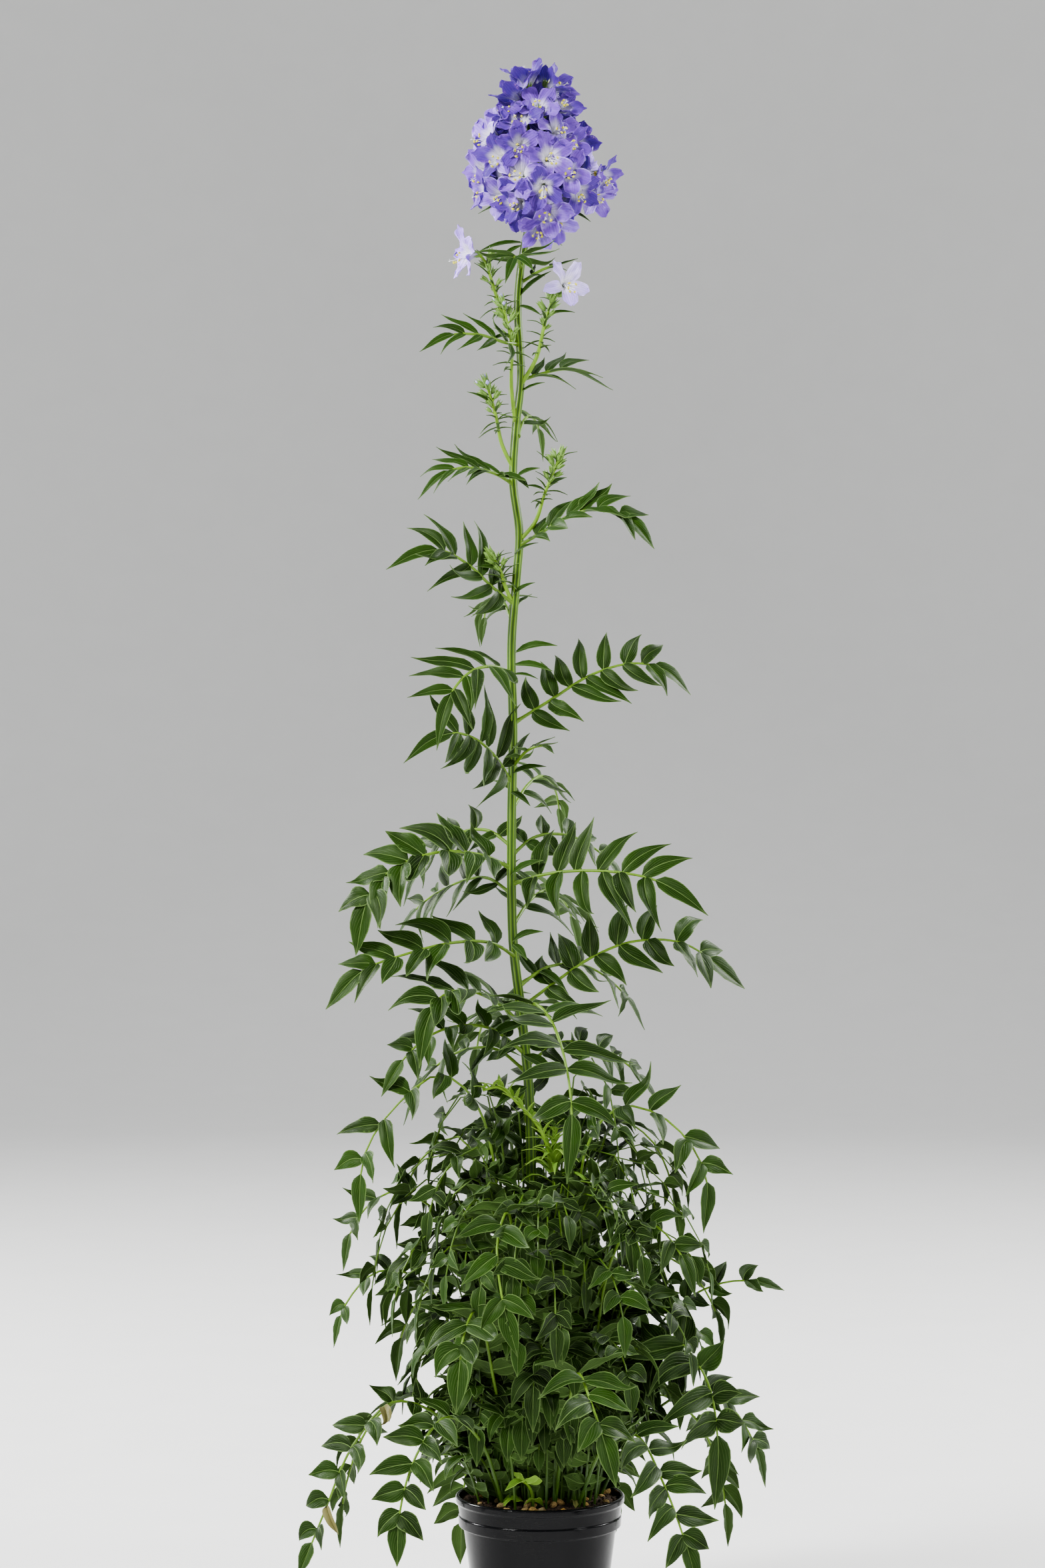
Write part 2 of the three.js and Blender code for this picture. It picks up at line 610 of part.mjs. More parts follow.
// Fronds on the flowering stem: points [across, height, depth] along the rib, from the stem to the tip
const stemFronds = [
  { name: "frond_top_front", pairs: 4, leaflet: 18, width: 5, tilt: 0,
    points: [[-12, 870, 0], [-15, 877, -18], [-18, 872, -36], [-22, 860, -48]] },
  { name: "frond_top_right", pairs: 2, leaflet: 12, width: 4, tilt: 20,
    points: [[-13, 860, 0], [2, 869, 5], [12, 872, 9], [24, 876, 12]] },
  { name: "frond_top_left", pairs: 4, leaflet: 20, width: 6, tilt: 50,
    points: [[-14, 822, 0], [-22, 823, -12], [-39, 828, -22], [-59, 827, -28], [-76, 817, -32]] },
  { name: "frond_upper_right", pairs: 3, leaflet: 25, width: 8, tilt: 25,
    points: [[-12, 799, 0], [0, 803, 4], [18, 806, 8], [46, 793, 14]] },
  { name: "frond_upper_left", pairs: 5, leaflet: 23, width: 7, tilt: 25,
    points: [[-17, 734, 0], [-30, 741, -10], [-50, 744, -22], [-64, 738, -28], [-77, 724, -34]] },
  { name: "frond_upper_rear", pairs: 4, leaflet: 22, width: 7, tilt: 0,
    points: [[-14, 764, 0], [-10, 774, 20], [-5, 776, 44], [0, 766, 66], [2, 748, 80]] },
  { name: "frond_high_right", pairs: 6, leaflet: 23, width: 8, tilt: 35,
    points: [[-13, 695, 0], [2, 704, -8], [21, 715, -14], [42, 718, -20], [58, 710, -24], [72, 693, -28]] },
  { name: "frond_high_left", pairs: 6, leaflet: 27, width: 8, tilt: 55,
    points: [[-16, 658, 0], [-30, 669, -8], [-45, 683, -14], [-62, 692, -20], [-78, 690, -24], [-97, 680, -28]] },
  { name: "frond_high_rear", pairs: 5, leaflet: 25, width: 8, tilt: 0,
    points: [[-17, 645, 0], [-22, 658, 22], [-28, 663, 48], [-34, 655, 74], [-37, 632, 94]] },
  { name: "frond_mid_left_upper", pairs: 6, leaflet: 29, width: 9, tilt: 35,
    points: [[-18, 615, 0], [-30, 619, -16], [-43, 616, -28], [-54, 605, -38], [-61, 588, -46], [-65, 566, -50]] },
  { name: "frond_mid_right", pairs: 7, leaflet: 25, width: 9, tilt: 55,
    points: [[-17, 583, 0], [7, 598, 8], [33, 614, 16], [60, 621, 22], [80, 616, 26], [95, 601, 30]] },
  { name: "frond_mid_left_lower", pairs: 6, leaflet: 31, width: 9, tilt: 40,
    points: [[-18, 546, 0], [-28, 562, -10], [-40, 573, -20], [-54, 577, -30], [-70, 572, -38], [-86, 558, -44]] },
  { name: "frond_mid_front", pairs: 3, leaflet: 17, width: 5, tilt: 10,
    points: [[-17, 556, 0], [-8, 566, -14], [2, 569, -28], [9, 564, -42]] },
  { name: "frond_mid_rear", pairs: 5, leaflet: 29, width: 9, tilt: 0,
    points: [[-18, 528, 0], [-8, 544, 26], [2, 550, 56], [10, 540, 86], [14, 512, 110]] },
  { name: "frond_broad_right", pairs: 6, leaflet: 34, width: 10, tilt: 58,
    points: [[-18, 482, 0], [8, 489, -12], [42, 490, -24], [71, 485, -32], [90, 475, -38], [106, 462, -42]] },
  { name: "frond_broad_left", pairs: 7, leaflet: 31, width: 10, tilt: 38,
    points: [[-18, 492, 0], [-36, 500, -12], [-64, 502, -26], [-93, 491, -36], [-108, 473, -42], [-116, 437, -44]] },
  { name: "frond_broad_left_rear", pairs: 6, leaflet: 27, width: 8, tilt: 20,
    points: [[-18, 476, 0], [-34, 486, 16], [-54, 482, 34], [-76, 468, 52], [-92, 446, 64]] },
  { name: "frond_broad_rear", pairs: 6, leaflet: 33, width: 10, tilt: 0,
    points: [[-17, 456, 0], [-6, 472, 28], [6, 478, 62], [18, 466, 96], [26, 436, 120]] },
  { name: "frond_low_left", pairs: 6, leaflet: 29, width: 9, tilt: 42,
    points: [[-15, 436, 0], [-31, 445, -14], [-55, 445, -28], [-84, 438, -40], [-112, 427, -48], [-135, 403, -50]] },
  { name: "frond_low_right", pairs: 7, leaflet: 29, width: 9, tilt: 55,
    points: [[-12, 404, 0], [8, 419, 8], [33, 436, 16], [60, 446, 22], [92, 444, 28], [129, 416, 34]] },
  { name: "frond_low_left_front", pairs: 6, leaflet: 30, width: 10, tilt: 25,
    points: [[-12, 394, 0], [-28, 408, -18], [-47, 415, -36], [-62, 411, -50], [-71, 395, -60], [-76, 366, -64]] },
  { name: "frond_low_front", pairs: 6, leaflet: 38, width: 12, tilt: 0,
    points: [[-11, 404, 0], [-2, 406, -26], [9, 392, -54], [17, 365, -76], [20, 335, -88], [17, 293, -94]] },
  { name: "frond_low_rear", pairs: 6, leaflet: 31, width: 10, tilt: 0,
    points: [[-10, 386, 0], [-20, 402, 28], [-30, 404, 62], [-38, 388, 94], [-42, 354, 116]] },
];

// Fronds from the crown that show from the front. start is where their leaflets begin.
const frontFronds = [
  { name: "crown_frond_right_arch", pairs: 6, leaflet: 30, width: 11, tilt: 30, start: 0.52,
    points: [[14, 80, -4], [24, 210, -10], [30, 318, -20], [52, 342, -30], [82, 332, -38], [104, 300, -42],
      [103, 262, -44]] },
  { name: "crown_frond_left_arch", pairs: 6, leaflet: 29, width: 11, tilt: 35, start: 0.5,
    points: [[-12, 80, -6], [-22, 230, -14], [-38, 340, -22], [-62, 362, -30], [-88, 345, -38], [-110, 313, -42],
      [-114, 268, -44]] },
  { name: "crown_frond_left_mid", pairs: 6, leaflet: 23, width: 9, tilt: 30, start: 0.46,
    points: [[-18, 80, 2], [-40, 200, 4], [-66, 276, 0], [-94, 288, -6], [-116, 270, -10], [-124, 238, -12]] },
  { name: "crown_frond_left_curl", pairs: 6, leaflet: 20, width: 8, tilt: 35, start: 0.4,
    points: [[-24, 80, 8], [-48, 180, 14], [-74, 232, 14], [-102, 238, 12], [-122, 218, 10], [-130, 190, 10]] },
  { name: "crown_frond_front_mid", pairs: 6, leaflet: 28, width: 11, tilt: 0, start: 0.44,
    points: [[-4, 80, -14], [-12, 190, -36], [-20, 276, -62], [-27, 256, -86], [-24, 222, -98], [-14, 184, -102]] },
  { name: "crown_frond_front_left", pairs: 5, leaflet: 31, width: 13, tilt: 5, start: 0.44,
    points: [[-12, 80, -18], [-28, 164, -52], [-40, 214, -80], [-48, 198, -98], [-51, 174, -106], [-53, 148, -108]] },
  { name: "crown_frond_trail_left", pairs: 6, leaflet: 25, width: 12, tilt: 15, start: 0.38,
    points: [[-20, 80, -22], [-38, 132, -50], [-60, 146, -78], [-78, 122, -96], [-88, 88, -104], [-90, 52, -106]] },
  { name: "crown_frond_far_left", pairs: 6, leaflet: 21, width: 11, tilt: 30, start: 0.38,
    points: [[-28, 80, -8], [-58, 142, -22], [-92, 156, -34], [-118, 128, -42], [-136, 86, -46], [-152, 46, -48]] },
  { name: "crown_frond_front_right", pairs: 5, leaflet: 31, width: 13, tilt: 0, start: 0.38,
    points: [[8, 80, -20], [16, 140, -50], [24, 174, -82], [32, 156, -104], [40, 132, -112], [48, 102, -114]] },
  { name: "crown_frond_broad_right", pairs: 5, leaflet: 36, width: 15, tilt: 40, start: 0.4,
    points: [[26, 80, -6], [52, 160, -12], [82, 196, -16], [104, 172, -20], [112, 132, -22], [110, 88, -22]] },
  { name: "crown_frond_trail_right", pairs: 6, leaflet: 27, width: 12, tilt: 12, start: 0.38,
    points: [[20, 80, -22], [42, 130, -50], [62, 134, -76], [78, 104, -92], [90, 72, -98], [100, 38, -98]] },
  { name: "crown_frond_far_right", pairs: 4, leaflet: 19, width: 9, tilt: 35, start: 0.52,
    points: [[24, 80, 10], [50, 160, 22], [84, 214, 28], [112, 230, 32], [134, 232, 34], [154, 226, 34]] },
  { name: "crown_frond_right_mid", pairs: 6, leaflet: 26, width: 10, tilt: 25, start: 0.44,
    points: [[20, 80, -14], [34, 190, -26], [50, 256, -40], [70, 268, -52], [88, 250, -58], [98, 222, -60]] },
  { name: "crown_frond_right_low", pairs: 6, leaflet: 25, width: 11, tilt: 30, start: 0.34,
    points: [[30, 80, 4], [58, 134, 8], [88, 160, 8], [114, 158, 6], [134, 132, 4], [142, 102, 4]] },
];

// Fronds from the crown behind and beside, in tiers: angles round the pot from +X towards the back, in degrees
const rearTiers = [
  { label: "tall", angles: [26, 70, 114, 160], root: 12, height: 318, reach: 96, drop: 70, start: 0.5,
    pairs: 5, leaflet: 28, width: 10 },
  { label: "middle", angles: [20, 58, 98, 138], root: 21, height: 236, reach: 122, drop: 64, start: 0.44,
    pairs: 5, leaflet: 28, width: 11 },
  { label: "low", angles: [28, 70, 112, 160], root: 30, height: 158, reach: 134, drop: 96, start: 0.34,
    pairs: 5, leaflet: 27, width: 12 },
];

// The points of a frond of a tier: up from the soil, over the top of its arch and down to its tip
function rearPoints({ root, height: tallest, reach, drop }, angle) {
  const foot = SOIL_LEVEL - ROOT_DEPTH;
  const height = tallest * (1 + REAR_UNEVEN * Math.sin(angle));
  return [
    [root, foot],
    [lerp(root, reach, 0.2), lerp(foot, height, 0.6)],
    [lerp(root, reach, 0.48), height],
    [lerp(root, reach, 0.78), height - 0.16 * drop],
    [lerp(root, reach, 0.96), height - 0.58 * drop],
    [reach, height - drop],
  ].map(([out, level]) => [out * Math.cos(degrees(angle)), level, out * Math.sin(degrees(angle))]);
}

const rearFronds = rearTiers.flatMap((tier) =>
  tier.angles.map((angle, place) => ({
    ...tier,
    name: `crown_frond_rear_${tier.label}_${place + 1}`,
    points: rearPoints(tier, angle),
    tilt: 0,
  })),
);

// A small young leaf that stands in the soil at the front
const youngLeaves = [
  { name: "young_leaf", pairs: 1, leaflet: 13, width: 9, tilt: 0, start: 0.5,
    points: [[-4, 84, -34], [-5, 102, -38], [-9, 107, -44], [-16, 101, -49]] },
];

// Rows of blooms round the flower head: height, number of blooms and the angle of the first in degrees
const headRows = [
  [992, 1, 0],
  [978, 4, 250],
  [959, 6, 275],
  [938, 8, 250],
  [917, 8, 272],
  [899, 5, 255],
];

// Distance of the bloom centres from the axis of the head, by height
function headRadius(height) {
  const steps = [[890, 18], [905, 26], [920, 35], [940, 36], [960, 27], [980, 15], [994, 5]];
  const above = steps.findIndex(([level]) => level >= height);
  if (above < 1) return steps[above < 0 ? steps.length - 1 : 0][1];
  const [low, high] = [steps[above - 1], steps[above]];
  return lerp(low[1], high[1], (height - low[0]) / (high[0] - low[0]));
}

function bloomOnHead(x, y, height, number) {
  const centre = seen([x, height, y]);
  const outward = new THREE.Vector3(centre.x - HEAD_AXIS, centre.y, 0);
  const direction = outward.clone().setZ(BLOOM_RISE * (height - BLOOMS_LEVEL_HEIGHT)).normalize();
  const back = Math.max((1 - CORE_SHARE) * outward.length() + TUBE_SUNK, BLOOM_RADIUS * SHORTEST_TUBE);
  return bloom(centre, direction, BLOOM_RADIUS, number * BLOOM_TURN, back);
}

function makeFlowerHead() {
  const coreProfile = [new THREE.Vector2(0, seen([0, HEAD_FOOT, 0]).z)];
  for (let ring = 0; ring < CORE_RINGS; ring += 1) {
    const height = lerp(HEAD_FOOT + 2, HEAD_TOP, ring / (CORE_RINGS - 1));
    coreProfile.push(new THREE.Vector2(CORE_SHARE * headRadius(height), height));
  }
  coreProfile.push(new THREE.Vector2(0, HEAD_TOP + 4));
  const core = latheSolid(coreProfile, CORE_SIDES).translate([HEAD_AXIS, 0, 0]);
  const parts = [core];
  for (const [height, blooms, first] of headRows) {
    const radius = headRadius(height);
    for (let number = 0; number < blooms; number += 1) {
      const turn = degrees(first + (360 / blooms) * number);
      parts.push(bloomOnHead(HEAD_AXIS + radius * Math.cos(turn), radius * Math.sin(turn), height, number));
    }
  }
  return joined(parts);
}

// Single flowers at the ends of two side stalks
const sideBlooms = [
  { name: "side_bloom_left", centre: [-46, 879, -10], direction: [-1, -0.35, 0], back: 7 },
  { name: "side_bloom_right", centre: [17, 860, -14], direction: [0.25, -1, 0.15], back: 8 },
];

function makeSideBloom({ centre, direction, back }) {
  return bloom(seen(centre), new THREE.Vector3(...direction), BLOOM_RADIUS * SIDE_BLOOM_SHARE, SIDE_BLOOM_TURN, back);
}

// Assembly: later pieces are cut clear of the earlier ones that they would cross
const plant = new THREE.Group();

function addPiece(name, solid, kind) {
  const mesh = new THREE.Mesh(toGeometry(solid), material(kind));
  mesh.name = name;
  plant.add(mesh);
}

const flowerStem = makeFlowerStem();
const leafyShoot = makeLeafyShoot();
const stemClearing = joined([stemSolid(GAP), shootSolid(GAP)]);
const taken = [{ solid: flowerStem, clearing: joined([flowerStem, stemClearing]) }];
taken.push({ solid: leafyShoot, clearing: joined([leafyShoot, stemClearing]) });

const crownFronds = [...frontFronds, ...rearFronds, ...youngLeaves];
const allFronds = [...stemFronds, ...crownFronds];
const frondSolids = new Map();
for (const frond of allFronds) {
  const whole = frondSolid(frond);
  let cut = whole;
  for (const { solid, clearing } of taken) {
    if (whole.intersect(solid).volume() > 0) cut = cut.subtract(clearing);
  }
  const kept = mainPiece(cut);
  frondSolids.set(frond.name, kept);
  taken.push({ solid: kept, clearing: frondSolid(frond, CROSSING_GAP) });
}

const headClearing = joined([stemSolid(GAP), ...bracts.map((leaf) => bract(leaf, CROSSING_GAP))]);
const flowerHead = mainPiece(makeFlowerHead().subtract(headClearing));
const rooted = [stemSolid(GAP), shootSolid(GAP), ...crownFronds.map((frond) => frondSolid(frond, GAP))];

addPiece("pot", makePot(), "pot");
addPiece("soil", mainPiece(makeSoil(rooted)), "soil");
addPiece("flower_stem", flowerStem, "stem");
addPiece("leafy_shoot", leafyShoot, "stem");
for (const [name, solid] of frondSolids) addPiece(name, solid, "frond");
addPiece("flower_head", flowerHead, "petal");
for (const side of sideBlooms) addPiece(side.name, makeSideBloom(side), "petal");

export default plant;
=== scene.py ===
# A jacobs ladder in flower in a round nursery pot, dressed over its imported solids.
# Metres, +Z up, the front towards -Y. Tables hold points in millimetres, and seen() turns them to metres.
import bisect
import math
import random
from dataclasses import dataclass, replace

import bmesh
import bpy
from mathutils import Matrix, Vector, noise


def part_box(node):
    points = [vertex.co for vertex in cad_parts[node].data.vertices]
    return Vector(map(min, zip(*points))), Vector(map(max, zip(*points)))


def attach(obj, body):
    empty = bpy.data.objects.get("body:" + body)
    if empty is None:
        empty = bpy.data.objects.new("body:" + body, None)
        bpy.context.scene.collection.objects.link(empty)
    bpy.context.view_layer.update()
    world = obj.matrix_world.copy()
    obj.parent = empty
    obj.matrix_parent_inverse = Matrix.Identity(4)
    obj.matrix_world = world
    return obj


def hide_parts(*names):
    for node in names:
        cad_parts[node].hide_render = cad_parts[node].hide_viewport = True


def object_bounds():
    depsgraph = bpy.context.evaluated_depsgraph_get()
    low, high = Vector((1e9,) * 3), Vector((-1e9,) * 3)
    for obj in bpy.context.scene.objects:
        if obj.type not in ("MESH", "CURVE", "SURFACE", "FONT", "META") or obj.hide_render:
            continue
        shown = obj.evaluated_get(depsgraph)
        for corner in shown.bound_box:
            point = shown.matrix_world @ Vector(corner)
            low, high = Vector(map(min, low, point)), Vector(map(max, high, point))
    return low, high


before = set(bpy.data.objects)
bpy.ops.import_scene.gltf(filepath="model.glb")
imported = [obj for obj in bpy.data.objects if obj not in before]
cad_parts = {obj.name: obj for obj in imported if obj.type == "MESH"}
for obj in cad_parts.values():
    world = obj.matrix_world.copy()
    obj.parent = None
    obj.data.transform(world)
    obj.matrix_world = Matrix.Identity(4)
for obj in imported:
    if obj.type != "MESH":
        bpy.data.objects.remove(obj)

cad_low, cad_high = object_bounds()

MM = 0.001
UP = Vector((0, 0, 1))
GOLDEN_ANGLE = math.pi * (3 - math.sqrt(5))

# Viewpoint from which the layout is given, in millimetres, and the lens that frames the plant
EYE_DISTANCE = 2249
EYE_ACROSS = -11
EYE_HEIGHT = 545
LENS = 82

# Pot and soil, in metres
_, POT_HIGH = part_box("pot")
POT_HEIGHT = POT_HIGH.z
RIM_RADIUS = POT_HIGH.x
RIM_FOOT = POT_HEIGHT - 0.004
RIM_LIP = 0.0022
POT_WALL = 0.0016
EDGE = 0.0008
BAND_FOOT = POT_HEIGHT - 0.020
BAND_RADIUS = RIM_RADIUS - 0.002
BODY_TOP_RADIUS = RIM_RADIUS - 0.005
BASE_RADIUS = RIM_RADIUS - 0.016
BASE_RECESS = 0.0012
BASE_THICKNESS = 0.0024
CORNER_RADIUS = 0.0007
ROUND_SIDES = 96
DRAIN_HOLES = 6
DRAIN_HOLE_RADIUS = 0.004
DRAIN_CIRCLE_RADIUS = 0.024
SOIL_LEVEL = POT_HEIGHT - 0.0038
SOIL_CROWN = 0.0045
SOIL_RINGS = 26
SOIL_SIDES = 72
SOIL_GAP = 0.0006
SOIL_LUMPS = 0.0011
CRUMBS = 520
CRUMB_SIZES = (0.0006, 0.0019)
PEBBLES = 30
PEBBLE_SIZES = (0.0016, 0.0036)
FRONT_PEBBLES = 13
FRONT_PEBBLE_SIZES = (0.0018, 0.0034)

# Stem and stalks, in metres
STEM_RADII = (0.0032, 0.0023)
STALK_RADII = (0.00138, 0.0009)
SHOOT_RADII = (0.0018, 0.0013)
BRANCH_RADII = (0.0015, 0.0008)
BACKBONE_RADII = (0.0019, 0.0008)
NECK_RADII = (0.0005, 0.0005)
PEDICEL_RADII = (0.0006, 0.0006)
SIDE_PEDICEL_RADII = (0.0007, 0.0007)
FILAMENT_RADII = (0.0002, 0.0002)
BUD_LENGTH = 0.0085
BUD_RADIUS = 0.0018
BUD_NECK = 0.0022
BUD_SPAN = 0.36
BUD_SIZES = (1.15, 0.7)
FLOWER_STALK_TOP = 0.86
TIP_BUDS = 3
LOWER_BUD_TONE = 0.2

# Fronds and their leaflets: lengths in metres, turns in radians, and shares
RIB_RADIUS = 0.00115
SMALL_RIB_RADIUS = 0.00085
RIB_FLARE = 0.6
LEAFLET_SWEEP_FOOT = math.radians(78)
LEAFLET_SWEEP_TIP = math.radians(48)
LEAFLET_LIFT = math.radians(14)
LEAFLET_DROOP = 0.16
CURLED_SHARE = 0.18
CURLED_MORE = 0.25
WITHERED_FORM = {"fold": 0.7, "wave": 0.3, "waves": 1.2, "rows": 14}
WITHERED_TWIST = (0.5, 1.3)
WITHERED_CURL = 0.2
WITHERED_LONGER = 1.4
WITHERED_NARROWER = 0.6
TIP_START = 0.55
CROWN_TOP = 0.12
BLADE_HALF_THICKNESS = 0.00022
BLADE_EDGE = 0.5
COLUMN_CROWD = 0.4
LAST_LEAFLET = 1.05
LEAFLET_WIDER = 1.06
LEAFLET_SPACING = 0.95
LEAFLET_OVERLAP = 0.003

# Materials that a piece of the plant can hold, in the order of its material slots, and those of the soil
LEAF, STEM, PETAL, ANTHER, FILAMENT, BUD = range(6)
SOIL, PEBBLE = range(2)


def lerp(low, high, share):
    return low + (high - low) * share


def smooth(low, high, value):
    share = max(0.0, min(1.0, (value - low) / (high - low)))
    return share * share * (3 - 2 * share)


def seen(point):
    """Place in metres of a point as it shows from the front: across, height and depth behind the stem."""
    across, height, depth = point
    scale = (EYE_DISTANCE + depth) / EYE_DISTANCE
    aside = EYE_ACROSS + (across - EYE_ACROSS) * scale
    return MM * Vector((aside, depth, EYE_HEIGHT + (height - EYE_HEIGHT) * scale))


def all_seen(points):
    return [seen(point) for point in points]


def turned(aside, over, turn):
    """The way that a turn from aside towards over gives."""
    return aside * math.cos(turn) + over * math.sin(turn)


def polar(radius, turn, height=0.0):
    return Vector((radius * math.cos(turn), radius * math.sin(turn), height))


def turns(sides):
    return [math.tau * side / sides for side in range(sides)]


def sideways(axis):
    """Two ways at right angles to an axis and to each other."""
    aside = axis.orthogonal().normalized()
    return aside, axis.cross(aside)


def centripetal(four, share):
    """A point between the second and third of four points, on the smooth curve through them."""
    knots = [0.0]
    for before, after in zip(four, four[1:]):
        knots.append(knots[-1] + max(1e-4, math.sqrt((after - before).length)))
    at = lerp(knots[1], knots[2], share)
    row = list(four)
    for place, first, last in ((0, 0, 1), (1, 1, 2), (2, 2, 3), (0, 0, 2), (1, 1, 3), (0, 1, 2)):
        low, high = knots[first], knots[last]
        row[place] = ((high - at) * row[place] + (at - low) * row[place + 1]) / (high - low)
    return row[0]


class Curve:
    """A smooth curve through points, measured by its length from 0 to 1."""

    def __init__(self, points, steps=14):
        around = [2 * points[0] - points[1], *points, 2 * points[-1] - points[-2]]
        self.samples = [points[0].copy()]
        for number in range(len(points) - 1):
            for step in range(1, steps + 1):
                self.samples.append(centripetal(around[number : number + 4], step / steps))
        self.marks = [0.0]
        for before, after in zip(self.samples, self.samples[1:]):
            self.marks.append(self.marks[-1] + (after - before).length)
        self.length = self.marks[-1]

    def at(self, share):
        mark = share * self.length
        after = min(len(self.marks) - 1, max(1, bisect.bisect_left(self.marks, mark)))
        low, high = self.marks[after - 1], self.marks[after]
        return self.samples[after - 1].lerp(self.samples[after], (mark - low) / (high - low))

    def along(self, share, span=0.01):
        return (self.at(min(1, share + span)) - self.at(max(0, share - span))).normalized()


class Skin:
    """The vertices, faces and point values of a piece while it is made."""

    def __init__(self):
        self.places = []
        self.looks = []
        self.marks = []
        self.faces = []
        self.kinds = []

    def vertex(self, place, look=(0, 0, 0), mark=(0, 0, 0)):
        """look is across, along and distance from the midrib. mark is tone, underside and dryness."""
        self.places.append(place)
        self.looks.append(look)
        self.marks.append(mark)
        return len(self.places) - 1

    def face(self, corners, kind):
        self.faces.append(corners)
        self.kinds.append(kind)

    def strip(self, before, after, kind, closed=True):
        """Faces between two rows of vertices."""
        count = len(before)
        for place in range(count if closed else count - 1):
            nearby = (place + 1) % count
            self.face((before[place], before[nearby], after[nearby], after[place]), kind)

    def fan(self, row, point, kind):
        """Faces from a closed row of vertices to a point."""
        for place, corner in enumerate(row):
            self.face((corner, row[(place + 1) % len(row)], point), kind)


@dataclass
class Shape:
    """How a blade is formed. rise and fall set where it is widest, and the rest is by its half width."""

    rise: float
    fall: float
    foot: float = 0.14
    end: float = 0.03
    fold: float = 0.25
    bulge: float = 0.12
    wave: float = 0.05
    waves: float = 3.0
    keel: float = 0.00035
    crowd: float = 1
    rows: int = 9
    columns: int = 6

    def outline(self, share):
        widest = self.rise / (self.rise + self.fall)
        width = (max(share, 0) / widest) ** self.rise * (max(1 - share, 0) / (1 - widest)) ** self.fall
        return max(width, lerp(self.foot, self.end, share))


def blade(skin, spine, half_width, shape, rng, mark, kind=LEAF, notch=None):
    """A closed thin blade. spine(along) gives its middle, the way across and the way its upper face looks."""
    phase = rng.uniform(0, 6.28)
    tops = []
    bottoms = []
    tone, _, dry = mark
    for row in range(shape.rows + 1):
        along = 1 - (1 - row / shape.rows) ** shape.crowd
        middle, across, face = spine(along)
        reach = shape.outline(along)
        top = []
        bottom = []
        for column in range(shape.columns + 1):
            even = -1 + 2 * column / shape.columns
            aside = even * lerp(1, abs(even), COLUMN_CROWD)
            side = abs(aside)
            rise = shape.fold * side + shape.bulge * math.sin(math.pi * side)
            rise += shape.wave * side * side * math.sin(shape.waves * math.tau * along + phase + 2 * aside)
            place = middle + across * (aside * reach * half_width) + face * (rise * reach * half_width)
            if notch:
                place += notch(aside, along)
            half = BLADE_HALF_THICKNESS * lerp(1, BLADE_EDGE, side)
            ridge = shape.keel * (1 - along) if side == 0 else 0
            look = (aside, along, aside * reach)
            top.append(skin.vertex(place + face * half, look, (tone, 0, dry)))
            bottom.append(skin.vertex(place - face * (half + ridge), look, (tone, 1, dry)))
        tops.append(top)
        bottoms.append(bottom)
    first = skin.places[tops[0][0]]
    outward = (skin.places[tops[0][-1]] - first).cross(skin.places[tops[1][0]] - first)
    if outward.dot(spine(0)[2]) <= 0:
        tops, bottoms = bottoms, tops
    for row in range(shape.rows):
        skin.strip(tops[row], tops[row + 1], kind, closed=False)
        skin.strip(bottoms[row + 1], bottoms[row], kind, closed=False)
    rim_top, rim_bottom = (
        rows[0] + [row[-1] for row in rows[1:-1]] + rows[-1][::-1] + [row[0] for row in rows[-2:0:-1]]
        for rows in (tops, bottoms)
    )
    skin.strip(rim_bottom, rim_top, kind)


def tube(skin, curve, radii, sides, rings, kind=STEM, tone=0.8, tip_painted_light=None, ridges=0, depth=0.0, last=1.0,
         flare=0.0):
    """A closed round tube along a curve, or a ridged one. radii are those at its foot and tip."""
    tip_painted_light = tone if tip_painted_light is None else tip_painted_light
    aside = curve.along(0).orthogonal().normalized()
    rows = []
    for ring in range(rings + 1):
        place = last * ring / rings
        along = curve.along(place)
        aside = (aside - along * aside.dot(along)).normalized()
        over = along.cross(aside)
        middle = curve.at(place)
        radius = lerp(*radii, place) * (1 + flare * (1 - smooth(0, 0.06, place)))
        # On stalks the tone is painted light and shade: the stalk material darkens them where it is low.
        mark = (lerp(tone, tip_painted_light, ring / rings), 0, 0)
        row = []
        for turn in turns(sides):
            ridge = math.cos(ridges * turn)
            out = turned(aside, over, turn) * (radius * (1 + depth * ridge))
            row.append(skin.vertex(middle + out, (ridge, place, turn), mark))
        rows.append(row)
    for before, after in zip(rows, rows[1:]):
        skin.strip(before, after, kind)
    skin.face(tuple(reversed(rows[0])), kind)
    skin.face(tuple(rows[-1]), kind)


def ball(skin, centre, axis, radius, length, kind, tone=0.5, sides=8, rings=5):
    """A closed round body on an axis, from its foot at the centre given."""
    axis = axis.normalized()
    aside, over = sideways(axis)
    mark = (tone, 0, 0)
    foot = skin.vertex(centre, (0, 0, 0), mark)
    before = None
    for ring in range(1, rings):
        share = ring / rings
        middle = centre + axis * (length * share)
        wide = radius * math.sin(math.pi * share)
        row = []
        for turn in turns(sides):
            out = turned(aside, over, turn) * wide
            row.append(skin.vertex(middle + out, (math.cos(5 * turn), share, 0), mark))
        if before:
            skin.strip(before, row, kind)
        else:
            skin.fan(row[::-1], foot, kind)
        before = row
    skin.fan(before, skin.vertex(centre + axis * length, (0, 1, 0), mark), kind)


# Materials


class Value:
    """A number or colour from a node. Sums and products of it are nodes too."""

    def __init__(self, nodes, socket):
        self.nodes = nodes
        self.socket = socket

    def __add__(self, other):
        return self.nodes.math("ADD", self, other)

    def __sub__(self, other):
        return self.nodes.math("SUBTRACT", self, other)

    def __mul__(self, other):
        return self.nodes.math("MULTIPLY", self, other)

    def __abs__(self):
        return self.nodes.math("ABSOLUTE", self)


